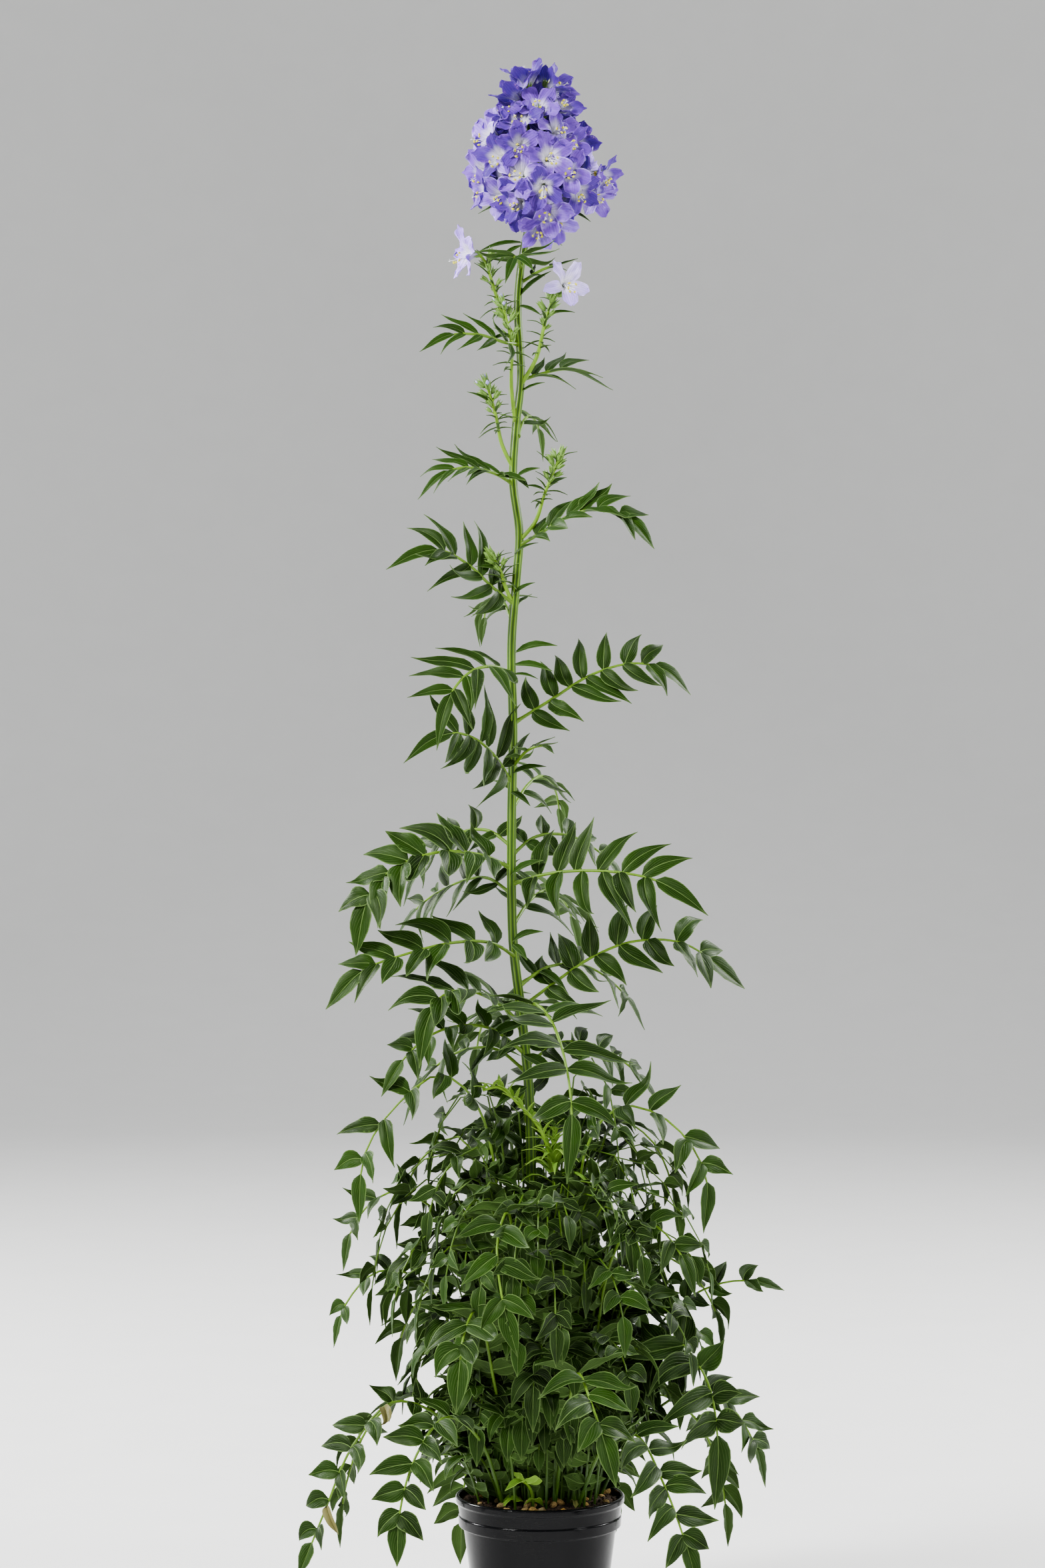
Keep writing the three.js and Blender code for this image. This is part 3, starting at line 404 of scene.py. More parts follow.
class Nodes:
    """A node material in the making, with short calls for the nodes that the materials share."""

    def __init__(self, name):
        self.material = bpy.data.materials.new(name)
        self.material.use_nodes = True
        self.tree = self.material.node_tree
        self.shader = self.tree.nodes["Principled BSDF"]

    def put(self, socket, value):
        if isinstance(value, Value):
            self.tree.links.new(value.socket, socket)
        else:
            socket.default_value = value

    def add(self, kind, values, output=0, **settings):
        """What a new node gives, from the values of its sockets by their number or name."""
        node = self.tree.nodes.new(kind)
        for key, value in settings.items():
            setattr(node, key, value)
        for key, value in values.items():
            self.put(node.inputs[key], value)
        return Value(self, node.outputs[output])

    def math(self, operation, *values, clamp=False):
        return self.add("ShaderNodeMath", dict(enumerate(values)), operation=operation, use_clamp=clamp)

    def held(self, value):
        """The value, held between 0 and 1."""
        return self.math("ADD", value, 0.0, clamp=True)

    def step(self, value, low, high, start=0.0, end=1.0):
        """A smooth step of a value from start at low to end at high."""
        values = dict(enumerate((value, low, high, start, end)))
        return self.add("ShaderNodeMapRange", values, interpolation_type="SMOOTHSTEP")

    def mix(self, share, low, high):
        """A colour between two, each from a node or given by its red, green and blue."""
        low, high = (colour if isinstance(colour, Value) else (*colour, 1) for colour in (low, high))
        return self.add("ShaderNodeMix", {0: share, 6: low, 7: high}, 2, data_type="RGBA")

    def point(self, name):
        """The three parts of a point value."""
        value = self.add("ShaderNodeAttribute", {}, "Vector", attribute_type="GEOMETRY", attribute_name=name)
        parts = self.add("ShaderNodeSeparateXYZ", {0: value})
        return [Value(self, socket) for socket in parts.socket.node.outputs]

    def noise(self, scale, detail=3.0, roughness=0.55, stretch=(1, 1, 1)):
        place = self.add("ShaderNodeTexCoord", {}, "Object")
        place = self.add("ShaderNodeMapping", {0: place, "Scale": stretch})
        values = {0: place, "Scale": scale, "Detail": detail, "Roughness": roughness}
        return self.add("ShaderNodeTexNoise", values)

    def cells(self, scale):
        place = self.add("ShaderNodeTexCoord", {}, "Object")
        return self.add("ShaderNodeTexVoronoi", {0: place, "Scale": scale})

    def finish(self, colour, rough, relief=None, depth=0.0, shine=0.5, **fixed):
        """The material, from its colour, roughness and relief, and from what is the same all over it."""
        values = {"Base Color": colour, "Roughness": rough, "Specular IOR Level": shine}
        if relief:
            values["Normal"] = self.add("ShaderNodeBump", {"Distance": depth, "Height": relief})
        for name, value in fixed.items():
            values[name.replace("_", " ").title()] = value
        for name, value in values.items():
            self.put(self.shader.inputs[name], value)
        return self.material


DEEP_GREEN = (0.0014, 0.0060, 0.0002)
FRESH_GREEN = (0.014, 0.048, 0.0008)
VEIN_GREEN = (0.17, 0.28, 0.075)
YOUNG_DEEP = (0.04, 0.14, 0.005)
YOUNG_FRESH = (0.15, 0.31, 0.018)
YOUNG_VEIN = (0.42, 0.60, 0.12)
WITHERED_BROWN = (0.13, 0.115, 0.035)


def leaf_material(name, deep, fresh, vein):
    """Green blades with a pale midrib, sunk side veins that run towards the tip, and a paler underside."""
    nodes = Nodes(name)
    aside, along, across = nodes.point("look")
    tone, under, dryness = nodes.point("mark")
    side = abs(aside)
    broad = nodes.noise(70, 2)
    fine = nodes.noise(1100, 3)
    colour = nodes.mix(nodes.held(broad * 0.7 + tone * 0.9 - 0.32), deep, fresh)
    thin = along * -0.045 + 0.07
    midrib = nodes.step(abs(across), thin * 0.25, thin, 1, 0)
    course = along * 4.2 - side * 4.4 + broad * 0.5 - 0.25
    fold = abs(nodes.math("FRACT", course) - 0.5)
    veins = nodes.step(fold, 0.0, 0.12, 1, 0) * nodes.step(side, 0.75, 1.0, 1, 0.2)
    pale = veins * 0.22 + nodes.step(side, 0.86, 1.0) * 0.4 + nodes.step(along, 0.8, 1.0) * 0.2
    pale = nodes.math("MAXIMUM", pale, midrib * 0.6, clamp=True)
    colour = nodes.mix(pale, colour, vein)
    colour = nodes.mix(under * 0.45, colour, [lerp(a, b, 0.25) for a, b in zip(fresh, vein)])
    colour = nodes.mix(dryness * nodes.step(broad, 0.15, 0.75, 1.0, 0.75), colour, WITHERED_BROWN)
    relief = fine * 0.25 - nodes.math("MAXIMUM", veins, midrib)
    return nodes.finish(colour, fine * 0.24 + under * 0.15 + 0.36, relief, 0.00022, 0.13,
                        specular_tint=(0.72, 0.95, 0.5, 1))


def stem_material():
    """Yellow-green stalks with paler ridges and fine lines along them, painted shade in the grooves between
    the ridges, and painted shade where their tone is low.
    """
    nodes = Nodes("stalk_green")
    ridge = nodes.point("look")[0]
    tone = nodes.point("mark")[0]
    broad = nodes.noise(45, 2)
    streak = nodes.noise(900, 3, stretch=(1, 1, 0.04))
    # Paler on the ridges and darker in the grooves: partly the stalk's own stripes and partly painted shade
    # in the grooves.
    light = nodes.held(ridge * 0.5 + streak * 0.8 - 0.1)
    colour = nodes.mix(light, (0.012, 0.040, 0.0008), (0.17, 0.33, 0.010))
    # Painted shade: the stalks darken towards deep green where their tone is low, low on the stem and at the
    # feet of the crown's ribs.
    colour = nodes.mix(nodes.held(broad * 0.5 - tone + 0.62), colour, (0.010, 0.035, 0.0015))
    return nodes.finish(colour, streak * 0.3 + 0.28, streak, 0.00018, 0.2)


def petal_material():
    """Lavender petals, white at the throat and violet at the edge, with fine darker veins."""
    nodes = Nodes("petal_violet")
    aside, along, _ = nodes.point("look")
    tone, under, _ = nodes.point("mark")
    side = abs(aside)
    cloud = nodes.noise(160, 2)
    fine = nodes.noise(1500, 3)
    depth = nodes.held(tone * 0.95 + cloud * 0.6 + under * 0.2 - nodes.step(side, 0.72, 1.0) * 0.2 - 0.2)
    colour = nodes.mix(nodes.step(depth, 0.0, 0.5), (0.43, 0.30, 0.87), (0.16, 0.052, 0.47))
    colour = nodes.mix(nodes.step(depth, 0.45, 1.0), colour, (0.05, 0.012, 0.22))
    lines = nodes.math("SINE", aside * 21.0 + cloud * 6.0)
    veins = nodes.step(lines, 0.55, 1.0) * nodes.step(along, 0.2, 0.7, 0.46, 0.26)
    colour = nodes.mix(veins, colour, (0.10, 0.045, 0.42))
    throat = nodes.step(side, 0.0, 0.9) * -0.14 + 0.62
    white = nodes.step(along, 0.12, throat, 1, 0) * (under * -0.6 + 0.97)
    bleach = nodes.step(tone, -0.4, 0.1, 0.9, 0.0) * nodes.step(along, 0.6, 1.0, 1.0, 0.6)
    colour = nodes.mix(bleach, colour, (0.84, 0.83, 0.95))
    colour = nodes.mix(white, colour, (0.92, 0.92, 0.92))
    colour = nodes.mix(veins * white, colour, (0.30, 0.22, 0.62))
    relief = nodes.step(lines, 0.2, 1.0) * 0.8 + fine
    return nodes.finish(colour, fine * 0.25 + 0.42, relief, 0.00016, 0.2, subsurface_weight=0.12,
                        subsurface_scale=0.002, subsurface_radius=(0.5, 0.45, 1.0), sheen_weight=0.05,
                        sheen_roughness=0.4)


def grained_material(name, scale, detail, low, high, smoothest, roughest, depth=0.0):
    """Plain stuff with a grain that runs between two colours and two roughnesses."""
    nodes = Nodes(name)
    grain = nodes.noise(scale, detail)
    rough = grain * (roughest - smoothest) + smoothest
    return nodes.finish(nodes.mix(grain, low, high), rough, grain if depth else None, depth)


def anther_material():
    pale, deep = (0.44, 0.40, 0.004), (0.64, 0.61, 0.02)
    return grained_material("anther_yellow", 4000, 2, pale, deep, 0.6, 0.8, 0.0002)


def filament_material():
    cool, warm = (0.80, 0.80, 0.88), (0.90, 0.91, 0.88)
    return grained_material("filament_white", 2500, 2, cool, warm, 0.4, 0.6, 0.00008)


def bud_material():
    """Sepals and buds, green at the foot and violet or white at the tip by their tone."""
    nodes = Nodes("bud_green")
    ridge, along, _ = nodes.point("look")
    tone = nodes.point("mark")[0]
    grain = nodes.noise(1300, 3)
    green = nodes.mix(ridge * 0.25 + grain, (0.045, 0.12, 0.008), (0.18, 0.32, 0.05))
    colour = nodes.mix(nodes.step(along, 0.35, 0.75) * nodes.step(tone, 0.55, 0.9), green, (0.36, 0.28, 0.76))
    return nodes.finish(colour, grain * 0.25 + 0.4, grain, 0.0002, 0.25)


def pot_material():
    """Glossy black moulded plastic, with faint scuffs and a little dust in patches."""
    nodes = Nodes("pot_black")
    scuff = nodes.noise(260, 5, 0.7, stretch=(1, 1, 6))
    cloud = nodes.noise(22, 3)
    dust = nodes.step(scuff, 0.52, 0.75) * nodes.step(cloud, 0.4, 0.8, 0.0, 0.5)
    colour = nodes.mix(dust, (0.002, 0.002, 0.0025), (0.02, 0.018, 0.016))
    return nodes.finish(colour, dust * 0.35 + cloud * 0.10 + 0.06, cloud + scuff * 0.08, 0.0006, 0.09)


def soil_material():
    nodes = Nodes("soil_dark")
    clod = nodes.noise(190, 5, 0.7)
    grit = nodes.cells(900)
    colour = nodes.mix(nodes.step(clod, 0.35, 0.7), (0.012, 0.008, 0.006), (0.065, 0.040, 0.024))
    colour = nodes.mix(nodes.step(grit, 0.05, 0.3, 0.55, 0.0), colour, (0.13, 0.085, 0.045))
    return nodes.finish(colour, grit * -0.2 + 0.97, grit * 0.5 + clod, 0.0016, 0.1)


def pebble_material():
    nodes = Nodes("pumice_ochre")
    cloud = nodes.noise(330, 4, 0.6)
    pores = nodes.cells(1700)
    colour = nodes.mix(nodes.point("mark")[0], (0.42, 0.235, 0.035), (0.40, 0.33, 0.16))
    colour = nodes.mix(nodes.step(cloud, 0.35, 0.75), colour, (0.20, 0.10, 0.035))
    colour = nodes.mix(nodes.step(pores, 0.02, 0.22, 0.7, 0.0), colour, (0.10, 0.055, 0.025))
    return nodes.finish(colour, cloud * 0.2 + 0.75, pores + cloud, 0.0008, 0.2)


def floor_material():
    return grained_material("floor_pale", 14, 3, (0.70, 0.70, 0.69), (0.74, 0.74, 0.73), 0.7, 0.8)


green_leaf = leaf_material("leaf_green", DEEP_GREEN, FRESH_GREEN, VEIN_GREEN)
young_leaf = leaf_material("leaf_young", YOUNG_DEEP, YOUNG_FRESH, YOUNG_VEIN)
other_parts = [stem_material(), petal_material(), anther_material(), filament_material(), bud_material()]
plant_materials = [green_leaf, *other_parts]
young_materials = [young_leaf, *other_parts]


def new_object(name, data):
    thing = bpy.data.objects.new(name, data)
    bpy.context.scene.collection.objects.link(thing)
    return thing


def smooth_shading(mesh, sharp):
    """Soft shading, but for edges sharper than an angle in degrees."""
    mesh.polygons.foreach_set("use_smooth", [True] * len(mesh.polygons))
    mesh.set_sharp_from_angle(angle=math.radians(sharp))


def make_piece(name, skin, nodes=(), materials=plant_materials, sharp=50):
    """A finished object of a skin, which rides with the plant and stands for the nodes named."""
    mesh = bpy.data.meshes.new(name)
    mesh.from_pydata(skin.places, [], skin.faces)
    used = sorted(set(skin.kinds))
    for kind in used:
        mesh.materials.append(materials[kind])
    mesh.polygons.foreach_set("material_index", [used.index(kind) for kind in skin.kinds])
    for title, values in (("look", skin.looks), ("mark", skin.marks)):
        layer = mesh.attributes.new(title, "FLOAT_VECTOR", "POINT")
        layer.data.foreach_set("vector", [number for value in values for number in value])
    smooth_shading(mesh, sharp)
    mesh.update()
    piece = new_object(name, mesh)
    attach(piece, "root")
    if nodes:
        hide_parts(*nodes)


# Fronds


@dataclass
class Frond:
    """A frond: lengths in millimetres, tilt in degrees, where its leaflets begin, and its points in metres.

    sweep, hang and outer scale how its leaflets turn, how they droop and how long the outer ones are.
    """

    pairs: int
    leaflet: float
    width: float
    tilt: float
    start: float
    points: list
    sweep: float = 1.0
    hang: float = 1.0
    outer: float = 1.0
    withered: tuple = ()


def frame_of(curve, share, tilt):
    """Ways along a frond at a share of its length, across to its right and out of its upper face."""
    along = curve.along(share)
    heading = curve.at(1) - curve.at(0)
    heading = Vector((heading.x, heading.y, 0)).normalized()
    level = Vector((heading.y, -heading.x, 0))
    level = (level - along * level.dot(along)).normalized()
    face = level.cross(along)
    roll = math.radians(tilt) * (-1 if heading.x > 0 else 1)
    return along, turned(level, face, roll), turned(face, -level, roll)


def leaflet_length(share):
    """Length of a leaflet by its place on the rib, from 0 at the lowest pair to 1 at the last."""
    return 0.72 + 0.34 * math.sin(math.pi * min(1, 0.12 + 0.8 * share))


def leaf_shape(ratio, fine):
    """A lance-shaped blade for slender leaflets and an ovate one for broad ones."""
    share = smooth(0.28, 0.48, ratio)
    rows, columns = (10, 6) if fine else (7, 4)
    return Shape(rise=lerp(0.55, 0.5, share), fall=lerp(1.3, 1.1, share), rows=rows, columns=columns)


def add_leaflet(skin, curve, frond, share, side, size, width, sweep, shape, rng, mark):
    along, across, normal = frame_of(curve, share, frond.tilt)
    lift = LEAFLET_LIFT + math.radians(rng.uniform(-8, 12))
    out = turned(across * side, normal, lift)
    face = turned(normal, across * -side, lift)
    axis = turned(along, out, sweep)
    broadside = turned(-out, along, sweep)
    origin = curve.at(share)
    droop = LEAFLET_DROOP * rng.uniform(0.4, 2.2) * frond.hang
    hook = rng.uniform(0.0, 0.3)
    twist = rng.uniform(-0.55, 0.55)
    curl = rng.uniform(-0.16, 0.2) + (CURLED_MORE if rng.random() < CURLED_SHARE else 0)
    swing = rng.uniform(-0.12, 0.12)
    shape = replace(shape, fold=rng.uniform(0.1, 0.5), wave=rng.uniform(0.04, 0.2),
                    waves=rng.uniform(1.0, 2.4))
    if mark[2]:
        shape = replace(shape, **WITHERED_FORM)
        twist = rng.uniform(*WITHERED_TWIST)
        curl += WITHERED_CURL
        size *= WITHERED_LONGER
        width *= WITHERED_NARROWER

    def spine(v):
        late = max(0, v - TIP_START) / (1 - TIP_START)
        middle = origin + axis * (size * v)
        middle += broadside * (swing * size * late * late - hook * width * math.sin(math.pi * v ** 0.8))
        middle += face * (size * (curl * late * late - droop * v * v))
        slope = 2 * droop * v - 2 * curl * late / (1 - TIP_START)
        upper = turned(face, -broadside, twist * v) + axis * slope
        return middle, turned(broadside, face, twist * v), upper.normalized()

    blade(skin, spine, 0.5 * width, shape, rng, mark)


def add_frond(skin, frond, rng, fine=True, tone=0.5, uneven=0.14):
    """A ribbed frond: its rib, its pairs of leaflets and the leaflet at its end."""
    curve = Curve(frond.points)
    leaflet = frond.leaflet * MM
    end = 1 - LAST_LEAFLET * leaflet / curve.length
    pitch = (end - frond.start) / frond.pairs
    widest = LEAFLET_SPACING * pitch * curve.length + LEAFLET_OVERLAP
    width = min(LEAFLET_WIDER * MM * frond.width, widest)
    shape = leaf_shape(frond.width / frond.leaflet, fine)
    # Painted shade on the ribs: dark at the foot of the crown's fronds among the stalks, and dark along the
    # small fronds inside the bush.
    stout, sides, rings, tip_painted_light = (RIB_RADIUS, 8, 30, 0.55) if fine else (SMALL_RIB_RADIUS, 6, 16, 0.2)
    foot_painted_light = -0.1 if curve.at(0).z < CROWN_TOP else 0.35
    tube(skin, curve, (1.05 * stout, 0.5 * stout), sides, rings, tone=foot_painted_light, tip_painted_light=tip_painted_light, last=end,
         flare=RIB_FLARE)
    for pair in range(frond.pairs):
        place = pair / (frond.pairs - 1) if frond.pairs > 1 else 0.5
        sweep = frond.sweep * lerp(LEAFLET_SWEEP_FOOT, LEAFLET_SWEEP_TIP, place)
        for side in (1, -1):
            share = frond.start + (pair + 0.5 + rng.uniform(-0.2, 0.2)) * pitch
            size = leaflet * leaflet_length(place) * rng.uniform(1 - uneven, 1.12)
            if side < 0:
                size *= frond.outer
            swept = sweep + math.radians(rng.uniform(-11, 11))
            mark = (min(1, max(0, tone + rng.uniform(-0.2, 0.2))), 0, float((pair, side) in frond.withered))
            broad = width * rng.uniform(0.9, 1.05)
            add_leaflet(skin, curve, frond, share, side, size, broad, swept, shape, rng, mark)

    def spine(v):
        share = lerp(end, 1, v)
        _, across, normal = frame_of(curve, min(share, 0.99), frond.tilt)
        return curve.at(share), across, normal

    blade(skin, spine, 0.5 * width, shape, rng, (min(1, tone + 0.1), 0, 0))


# Fronds on the flowering stem: pairs, leaflet, width, tilt and points [across, height, depth] to the tip
STEM_FRONDS = [
    ("top_front", 4, 28, 6.25, 0, [(-12, 870, 0), (-15, 877, -18), (-18, 872, -36), (-22, 860, -48)]),
    ("top_right", 2, 14.4, 3.4, 20, [(-13, 860, 0), (2, 869, 5), (12, 872, 9), (24, 876, 12)]),
    ("top_left", 4, 24, 5.1, 50,
     [(-14, 822, 0), (-22, 823, -12), (-39, 828, -22), (-59, 827, -28), (-76, 817, -32)]),
    ("upper_right", 3, 30, 6.8, 25, [(-12, 799, 0), (0, 803, 4), (18, 806, 8), (46, 793, 14)]),
    ("upper_left", 5, 27.5164, 5.9589, 25,
     [(-17, 734, 0), (-30, 741, -10), (-50, 744, -22), (-64, 738, -28), (-77, 724, -34)]),
    ("upper_rear", 4, 26.4, 5, 30,
     [(-14, 764, 0), (-10, 774, 20), (-5, 776, 44), (0, 766, 66), (2, 748, 80)]),
    ("high_right", 6, 26.7477, 10.5, 35,
     [(-13, 695, 0), (2, 704, -8), (21, 715, -14), (42, 718, -20), (58, 710, -24), (72, 693, -28)]),
    ("high_left", 6, 34, 8.5, 55,
     [(-16, 658, 0), (-30, 669, -8), (-45, 683, -14), (-62, 692, -20), (-78, 690, -24), (-97, 680, -28)]),
    ("high_rear", 5, 22, 7, 30,
     [(-17, 645, 0), (-22, 658, 22), (-28, 663, 48), (-34, 655, 74), (-37, 632, 94)]),
    ("mid_left_upper", 5, 36, 8.5, 35,
     [(-18, 615, 0), (-30, 619, -16), (-43, 616, -28), (-54, 605, -38), (-61, 588, -46), (-65, 566, -50)]),
    ("mid_right", 7, 30, 10, 55,
     [(-17, 583, 0), (7, 598, 8), (33, 614, 16), (60, 621, 22), (80, 616, 26), (95, 601, 30)]),
    ("mid_left_lower", 6, 37, 8.5, 70,
     [(-18, 546, 0), (-28, 562, -10), (-40, 573, -20), (-54, 577, -30), (-70, 572, -38), (-86, 558, -44)]),
    ("mid_front", 3, 17.009, 4.5991, 10, [(-17, 556, 0), (-8, 566, -14), (2, 569, -28), (9, 564, -42)]),
    ("mid_rear", 5, 22, 7, 30, [(-18, 528, 0), (-8, 544, 26), (2, 550, 56), (10, 540, 86), (14, 512, 110)]),
    ("broad_right", 6, 38, 11, 58,
     [(-18, 482, 0), (8, 489, -12), (42, 490, -24), (71, 485, -32), (90, 475, -38), (106, 462, -42)]),
    ("broad_left", 7, 31, 14, 38,
     [(-18, 492, 0), (-36, 500, -12), (-64, 502, -26), (-93, 491, -36), (-108, 473, -42), (-116, 437, -44)]),
    ("broad_left_rear", 6, 27, 7.36, 50,
     [(-18, 476, 0), (-34, 486, 16), (-54, 482, 34), (-76, 468, 52), (-92, 446, 64)]),
    ("broad_rear", 6, 33, 9.2, 30,
     [(-17, 456, 0), (-6, 472, 28), (6, 478, 62), (18, 466, 96), (26, 436, 120)]),
    ("low_left", 6, 31, 12, 42,
     [(-15, 436, 0), (-31, 445, -14), (-55, 445, -28), (-84, 438, -40), (-112, 427, -48), (-135, 403, -50)]),
    ("low_right", 7, 29, 12.5, 55,
     [(-12, 404, 0), (8, 419, 8), (33, 436, 16), (60, 446, 22), (92, 444, 28), (129, 416, 34)]),
    ("low_left_front", 6, 38, 12.5, 25,
     [(-12, 394, 0), (-28, 408, -18), (-47, 415, -36), (-62, 411, -50), (-71, 395, -60), (-76, 366, -64)]),
    ("low_front", 6, 40, 11.04, 0,
     [(-11, 404, 0), (-2, 406, -26), (9, 392, -54), (17, 365, -76), (20, 335, -88), (17, 293, -94)]),
    ("low_rear", 6, 31, 9.2, 30,
     [(-10, 386, 0), (-20, 402, 28), (-30, 404, 62), (-38, 388, 94), (-42, 354, 116)]),
]

# Lesser fronds low on the flowering stem, by the same numbers
LESSER_FRONDS = [
    (6, 25, 9, 40, [(-10, 376, 0), (-34, 392, -14), (-62, 390, -24), (-84, 374, -32), (-100, 348, -36)]),
    (6, 24, 8, 30, [(-9, 364, 0), (-28, 378, 8), (-52, 376, 18), (-74, 358, 26), (-86, 330, 30)]),
    (6, 24, 9, 30, [(-8, 368, 0), (12, 382, 6), (34, 380, 12), (58, 366, 16), (76, 342, 18)]),
    (5, 26, 9, 45, [(-17, 505, 0), (-34, 516, 10), (-56, 512, 20), (-76, 492, 28), (-86, 468, 32)]),
    (5, 24, 9, 45, [(-18, 500, 0), (-2, 512, 12), (20, 512, 22), (42, 498, 30), (56, 476, 34)]),
    (5, 24, 8, 40, [(-13, 418, 0), (6, 430, 14), (30, 430, 26), (52, 414, 34), (66, 390, 38)]),
]

# Fronds from the crown that show from the front: pairs, leaflet, width, tilt, start of the leaflets, points
CROWN_FRONDS = [
    ("right_arch", 7, 30, 11, 30, 0.52,
     [(14, 80, -4), (24, 210, -10), (30, 318, -20), (52, 342, -30), (82, 332, -38), (104, 300, -42),
      (103, 262, -44)]),
    ("left_arch", 7, 29, 11, 35, 0.5,
     [(-12, 80, -6), (-22, 230, -14), (-38, 340, -22), (-62, 362, -30), (-88, 345, -38), (-110, 313, -42),
      (-114, 268, -44)]),
    ("left_mid", 7, 23, 9, 30, 0.46,
     [(-18, 80, 2), (-40, 200, 4), (-66, 276, 0), (-94, 288, -6), (-116, 270, -10), (-124, 238, -12)]),
    ("left_curl", 7, 20, 8, 35, 0.4,
     [(-24, 80, 8), (-48, 180, 14), (-74, 232, 14), (-102, 238, 12), (-122, 218, 10), (-130, 190, 10)]),
    ("front_mid", 7, 28, 11, 0, 0.44,
     [(-4, 80, -14), (-12, 190, -36), (-20, 276, -62), (-27, 256, -86), (-24, 222, -98), (-14, 184, -102)]),
    ("front_left", 6, 31, 13, 5, 0.44,
     [(-12, 80, -18), (-28, 164, -52), (-40, 214, -80), (-48, 198, -98), (-51, 174, -106), (-53, 148, -108)]),
    ("trail_left", 7, 25, 12, 15, 0.38,
     [(-20, 80, -22), (-38, 132, -50), (-60, 146, -78), (-78, 122, -96), (-88, 88, -104), (-90, 52, -106)]),
    ("far_left", 7, 21, 11, 30, 0.38,
     [(-28, 80, -8), (-58, 142, -22), (-92, 156, -34), (-118, 128, -42), (-136, 86, -46), (-152, 46, -48)]),
    ("front_right", 6, 31, 13, 0, 0.38,
     [(8, 80, -20), (16, 140, -50), (24, 174, -82), (32, 156, -104), (40, 132, -112), (48, 102, -114)]),
    ("broad_right", 6, 44, 15, 55, 0.4,
     [(26, 80, -6), (52, 160, -12), (82, 196, -16), (104, 172, -20), (112, 132, -22), (110, 88, -22)]),
    ("trail_right", 7, 27, 12, 12, 0.38,
     [(20, 80, -22), (42, 130, -50), (62, 134, -76), (78, 104, -92), (90, 72, -98), (100, 38, -98)]),
    ("far_right", 5, 19, 9, 35, 0.52,
     [(24, 80, 10), (50, 160, 22), (84, 214, 28), (112, 230, 32), (134, 232, 34), (154, 226, 34)]),
    ("right_mid", 7, 26, 10, 25, 0.44,
     [(20, 80, -14), (34, 190, -26), (50, 256, -40), (70, 268, -52), (88, 250, -58), (98, 222, -60)]),
    ("right_low", 7, 25, 11, 30, 0.34,
     [(30, 80, 4), (58, 134, 8), (88, 160, 8), (114, 158, 6), (134, 132, 4), (142, 102, 4)]),
]

# Tiers of fronds from the crown behind and beside: angles round the pot from +X towards the back in degrees,
# root, height, reach, drop, leaflet, width and start of the leaflets
REAR_TIERS = [
    ("tall", [26, 70, 114, 160], 12, 318, 96, 70, 28, 10, 0.5),
    ("middle", [20, 58, 98, 138], 21, 236, 122, 64, 28, 11, 0.44),
    ("low", [28, 70, 112, 160], 30, 158, 134, 96, 27, 12, 0.34),
]

# What sets single fronds apart
FROND_CHANGES = {
    "frond_top_front": {"sweep": 1.05},
    "frond_high_left": {"sweep": 0.85},
    "frond_mid_left_lower": {"sweep": 1.1},
    "frond_broad_left": {"sweep": 0.8},
    "frond_low_left": {"sweep": 0.75},
    "frond_low_left_front": {"sweep": 0.9},
    "frond_low_front": {"sweep": 1.3, "hang": 0.9},
    "crown_frond_broad_right": {"sweep": 1.7, "hang": 0.3, "outer": 0.5},
    "crown_frond_far_left": {"withered": ((1, -1), (5, -1))},
}
STEM_FROND_START = 0.08
FROND_FOOT = 80
REAR_PAIRS = 7
REAR_UNEVEN = 0.06

# Points of an arched frond: shares of its way out, of its rise and of its drop
ARCH = [(0, 0, 0), (0.2, 0.6, 0), (0.48, 1, 0), (0.78, 1, 0.16), (0.96, 1, 0.58), (1, 1, 1)]


def arch(angle, root, height, reach, drop):
    """Points of a frond from the soil, over the top of its arch and down to its tip."""
    turn = math.radians(angle)
    points = []
    for outward, rise, fall in ARCH:
        out = lerp(root, reach, outward)
        level = lerp(FROND_FOOT, height, rise) - fall * drop
        points.append((out * math.cos(turn), level, out * math.sin(turn)))
    return all_seen(points)


def make_frond(name, frond, tone=None):
    """A frond as a piece of its own, in place of the node of its name."""
    rng = random.Random(name)
    skin = Skin()
    tone = rng.uniform(0.2, 0.45) if tone is None else tone
    add_frond(skin, replace(frond, **FROND_CHANGES.get(name, {})), rng, tone=tone)
    make_piece(f"{name}_fine", skin, [name])


def make_stem_fronds():
    for name, *sizes, points in STEM_FRONDS:
        upper = smooth(0.55, 0.75, MM * points[0][1])
        frond = Frond(*sizes, STEM_FROND_START, all_seen(points))
        frond.sweep = lerp(1, 0.6, upper)
        frond.hang = 2.4 if "rear" in name else 1.3
        make_frond(f"frond_{name}", frond, lerp(0.3, 0.6, upper))


def make_lesser_fronds():
    rng = random.Random("lesser fronds")
    skin = Skin()
    for *sizes, points in LESSER_FRONDS:
        frond = Frond(*sizes, STEM_FROND_START, all_seen(points), hang=2.2)
        add_frond(skin, frond, rng, tone=rng.uniform(0.15, 0.45), uneven=0.25)
    make_piece("lesser_fronds", skin)


def make_crown_fronds():
    for name, *sizes, points in CROWN_FRONDS:
        make_frond(f"crown_frond_{name}", Frond(*sizes, all_seen(points)))
    for label, angles, root, height, reach, drop, leaflet, width, start in REAR_TIERS:
        for place, angle in enumerate(angles):
            points = arch(angle, root, height * (1 + REAR_UNEVEN * math.sin(angle)), reach, drop)
            frond = Frond(REAR_PAIRS, leaflet, width, 0, start, points)
            make_frond(f"crown_frond_rear_{label}_{place + 1}", frond)


